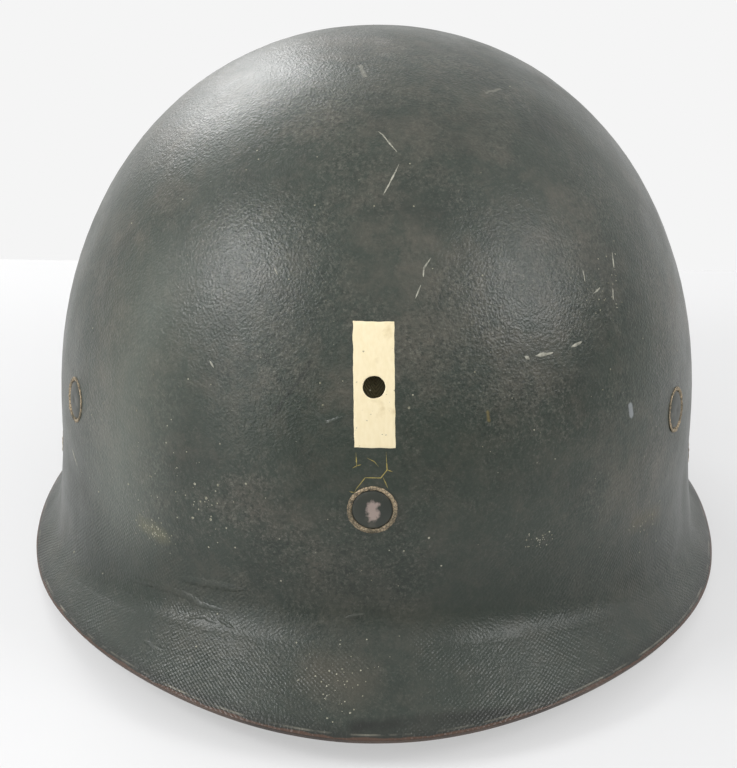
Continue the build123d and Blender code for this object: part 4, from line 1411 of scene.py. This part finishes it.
# %% Finishes of the parts that stay as built
finishes = {"suspension_washer": drab_steel, "nape_washer": drab_steel,
            "sweatband_clip": spring_steel, "sweatband_buckle": buckle_steel,
            "nape_snap": black_brass, "chinstrap_loop": drab_steel}
for node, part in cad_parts.items():
    for start, finish in finishes.items():
        if node.startswith(start):
            given(part, finish)
print("finished parts:", sum(node.startswith(tuple(finishes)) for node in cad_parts))

# %% [markdown]
# ## Floor, backdrop and light
# The helmet stands on a white table with a white wall far behind it. Square soft
# boxes of some 0.4 m give the broad highlights on the dome: one behind it, one on
# each side, and a weak one low in front. Half of what the camera sees of the table
# is plain, which keeps its shadow faint. The room is darker near the table than
# overhead, so that the lower wall and the brim stay dark.

# %% Studio
FLOOR_REAR, FLOOR_FRONT, FLOOR_SIDE = 0.228, -0.42, 0.6
WALL_Y, WALL_SIDE, WALL_RISE = 2.4, 6, 5
LAMP_AIM = Vector((0, 0, 0.1))


def ground_material(name, colour, seen, share):
    """White ground; a share of what the camera and reflections see is plain."""
    material, tree, shader = new_material(name)
    feed(tree, shader.inputs["Base Color"], linear(colour))
    feed(tree, shader.inputs["Roughness"], 0.9)
    glow = add(tree, "ShaderNodeEmission", {"Color": linear(seen)})
    ray = add(tree, "ShaderNodeLightPath").outputs
    eye = add(tree, MATH, {0: ray["Is Camera Ray"], 1: ray["Is Glossy Ray"]},
              operation="MAXIMUM")
    eye = add(tree, MATH, {0: eye, 1: share}, operation="MULTIPLY")
    both = add(tree, "ShaderNodeMixShader", {0: eye, 1: shader, 2: glow})
    output = next(node for node in tree.nodes if node.type == "OUTPUT_MATERIAL")
    feed(tree, output.inputs["Surface"], both)
    return material


floor = mesh_piece("floor", [(-FLOOR_SIDE, FLOOR_FRONT, 0), (FLOOR_SIDE, FLOOR_FRONT, 0),
                             (FLOOR_SIDE, FLOOR_REAR, 0), (-FLOOR_SIDE, FLOOR_REAR, 0)],
                   [(0, 1, 2, 3)], False)
backdrop = mesh_piece("backdrop", [
    (-WALL_SIDE, WALL_Y, -WALL_RISE), (WALL_SIDE, WALL_Y, -WALL_RISE),
    (WALL_SIDE, WALL_Y, WALL_RISE), (-WALL_SIDE, WALL_Y, WALL_RISE)], [(0, 1, 2, 3)], False)
given(floor, ground_material("white table", "#d9d9da", "#f6f6f6", 0.5))
given(backdrop, ground_material("white wall", "#f2f2f2", "#f5f5f5", 1.0))

world = bpy.data.worlds.new("studio")
world.use_nodes = True
tree = world.node_tree
tree.nodes.clear()
# The room is darker near the table than overhead; the camera sees plain white
way = add(tree, PLACES).outputs["Generated"]
rise = add(tree, SPLIT, {0: way}).outputs["Z"]
level = add(tree, RAMP, {"Value": rise, "From Min": -0.1, "From Max": 0.5,
                         "To Min": 0.1, "To Max": 0.95})
seen = add(tree, "ShaderNodeLightPath").outputs["Is Camera Ray"]
level = add(tree, BLEND, {"Factor": seen, "A": level, "B": 1})
tint = coats(tree, linear("#ffffff"), (seen, "#f5f5f5"))
light = add(tree, "ShaderNodeBackground", {"Color": tint, "Strength": level})
add(tree, "ShaderNodeOutputWorld", {"Surface": light})
bpy.context.scene.world = world

# Way from the aim, distance, size and power of each lamp
for name, way, distance, size, power in (
        ("rear window", (-0.42, 0.8, 0.43), 0.85, 0.4, 3.1),
        ("left", (-0.76, -0.28, 0.59), 1.0, 0.35, 4.9),
        ("low front", (-0.75, -0.62, 0.14), 1.1, 0.5, 1.6),
        ("right", (0.79, -0.28, 0.54), 1.0, 0.4, 3.4)):
    data = bpy.data.lights.new(name, "AREA")
    data.shape, data.size, data.energy = "SQUARE", size, power
    light = bpy.data.objects.new(name, data)
    toward = Vector(way).normalized()
    light.location = LAMP_AIM + toward * distance
    light.rotation_euler = toward.to_track_quat("Z", "Y").to_euler()
    light.visible_camera = False
    bpy.context.collection.objects.link(light)
bpy.context.scene.view_settings.view_transform = "Standard"
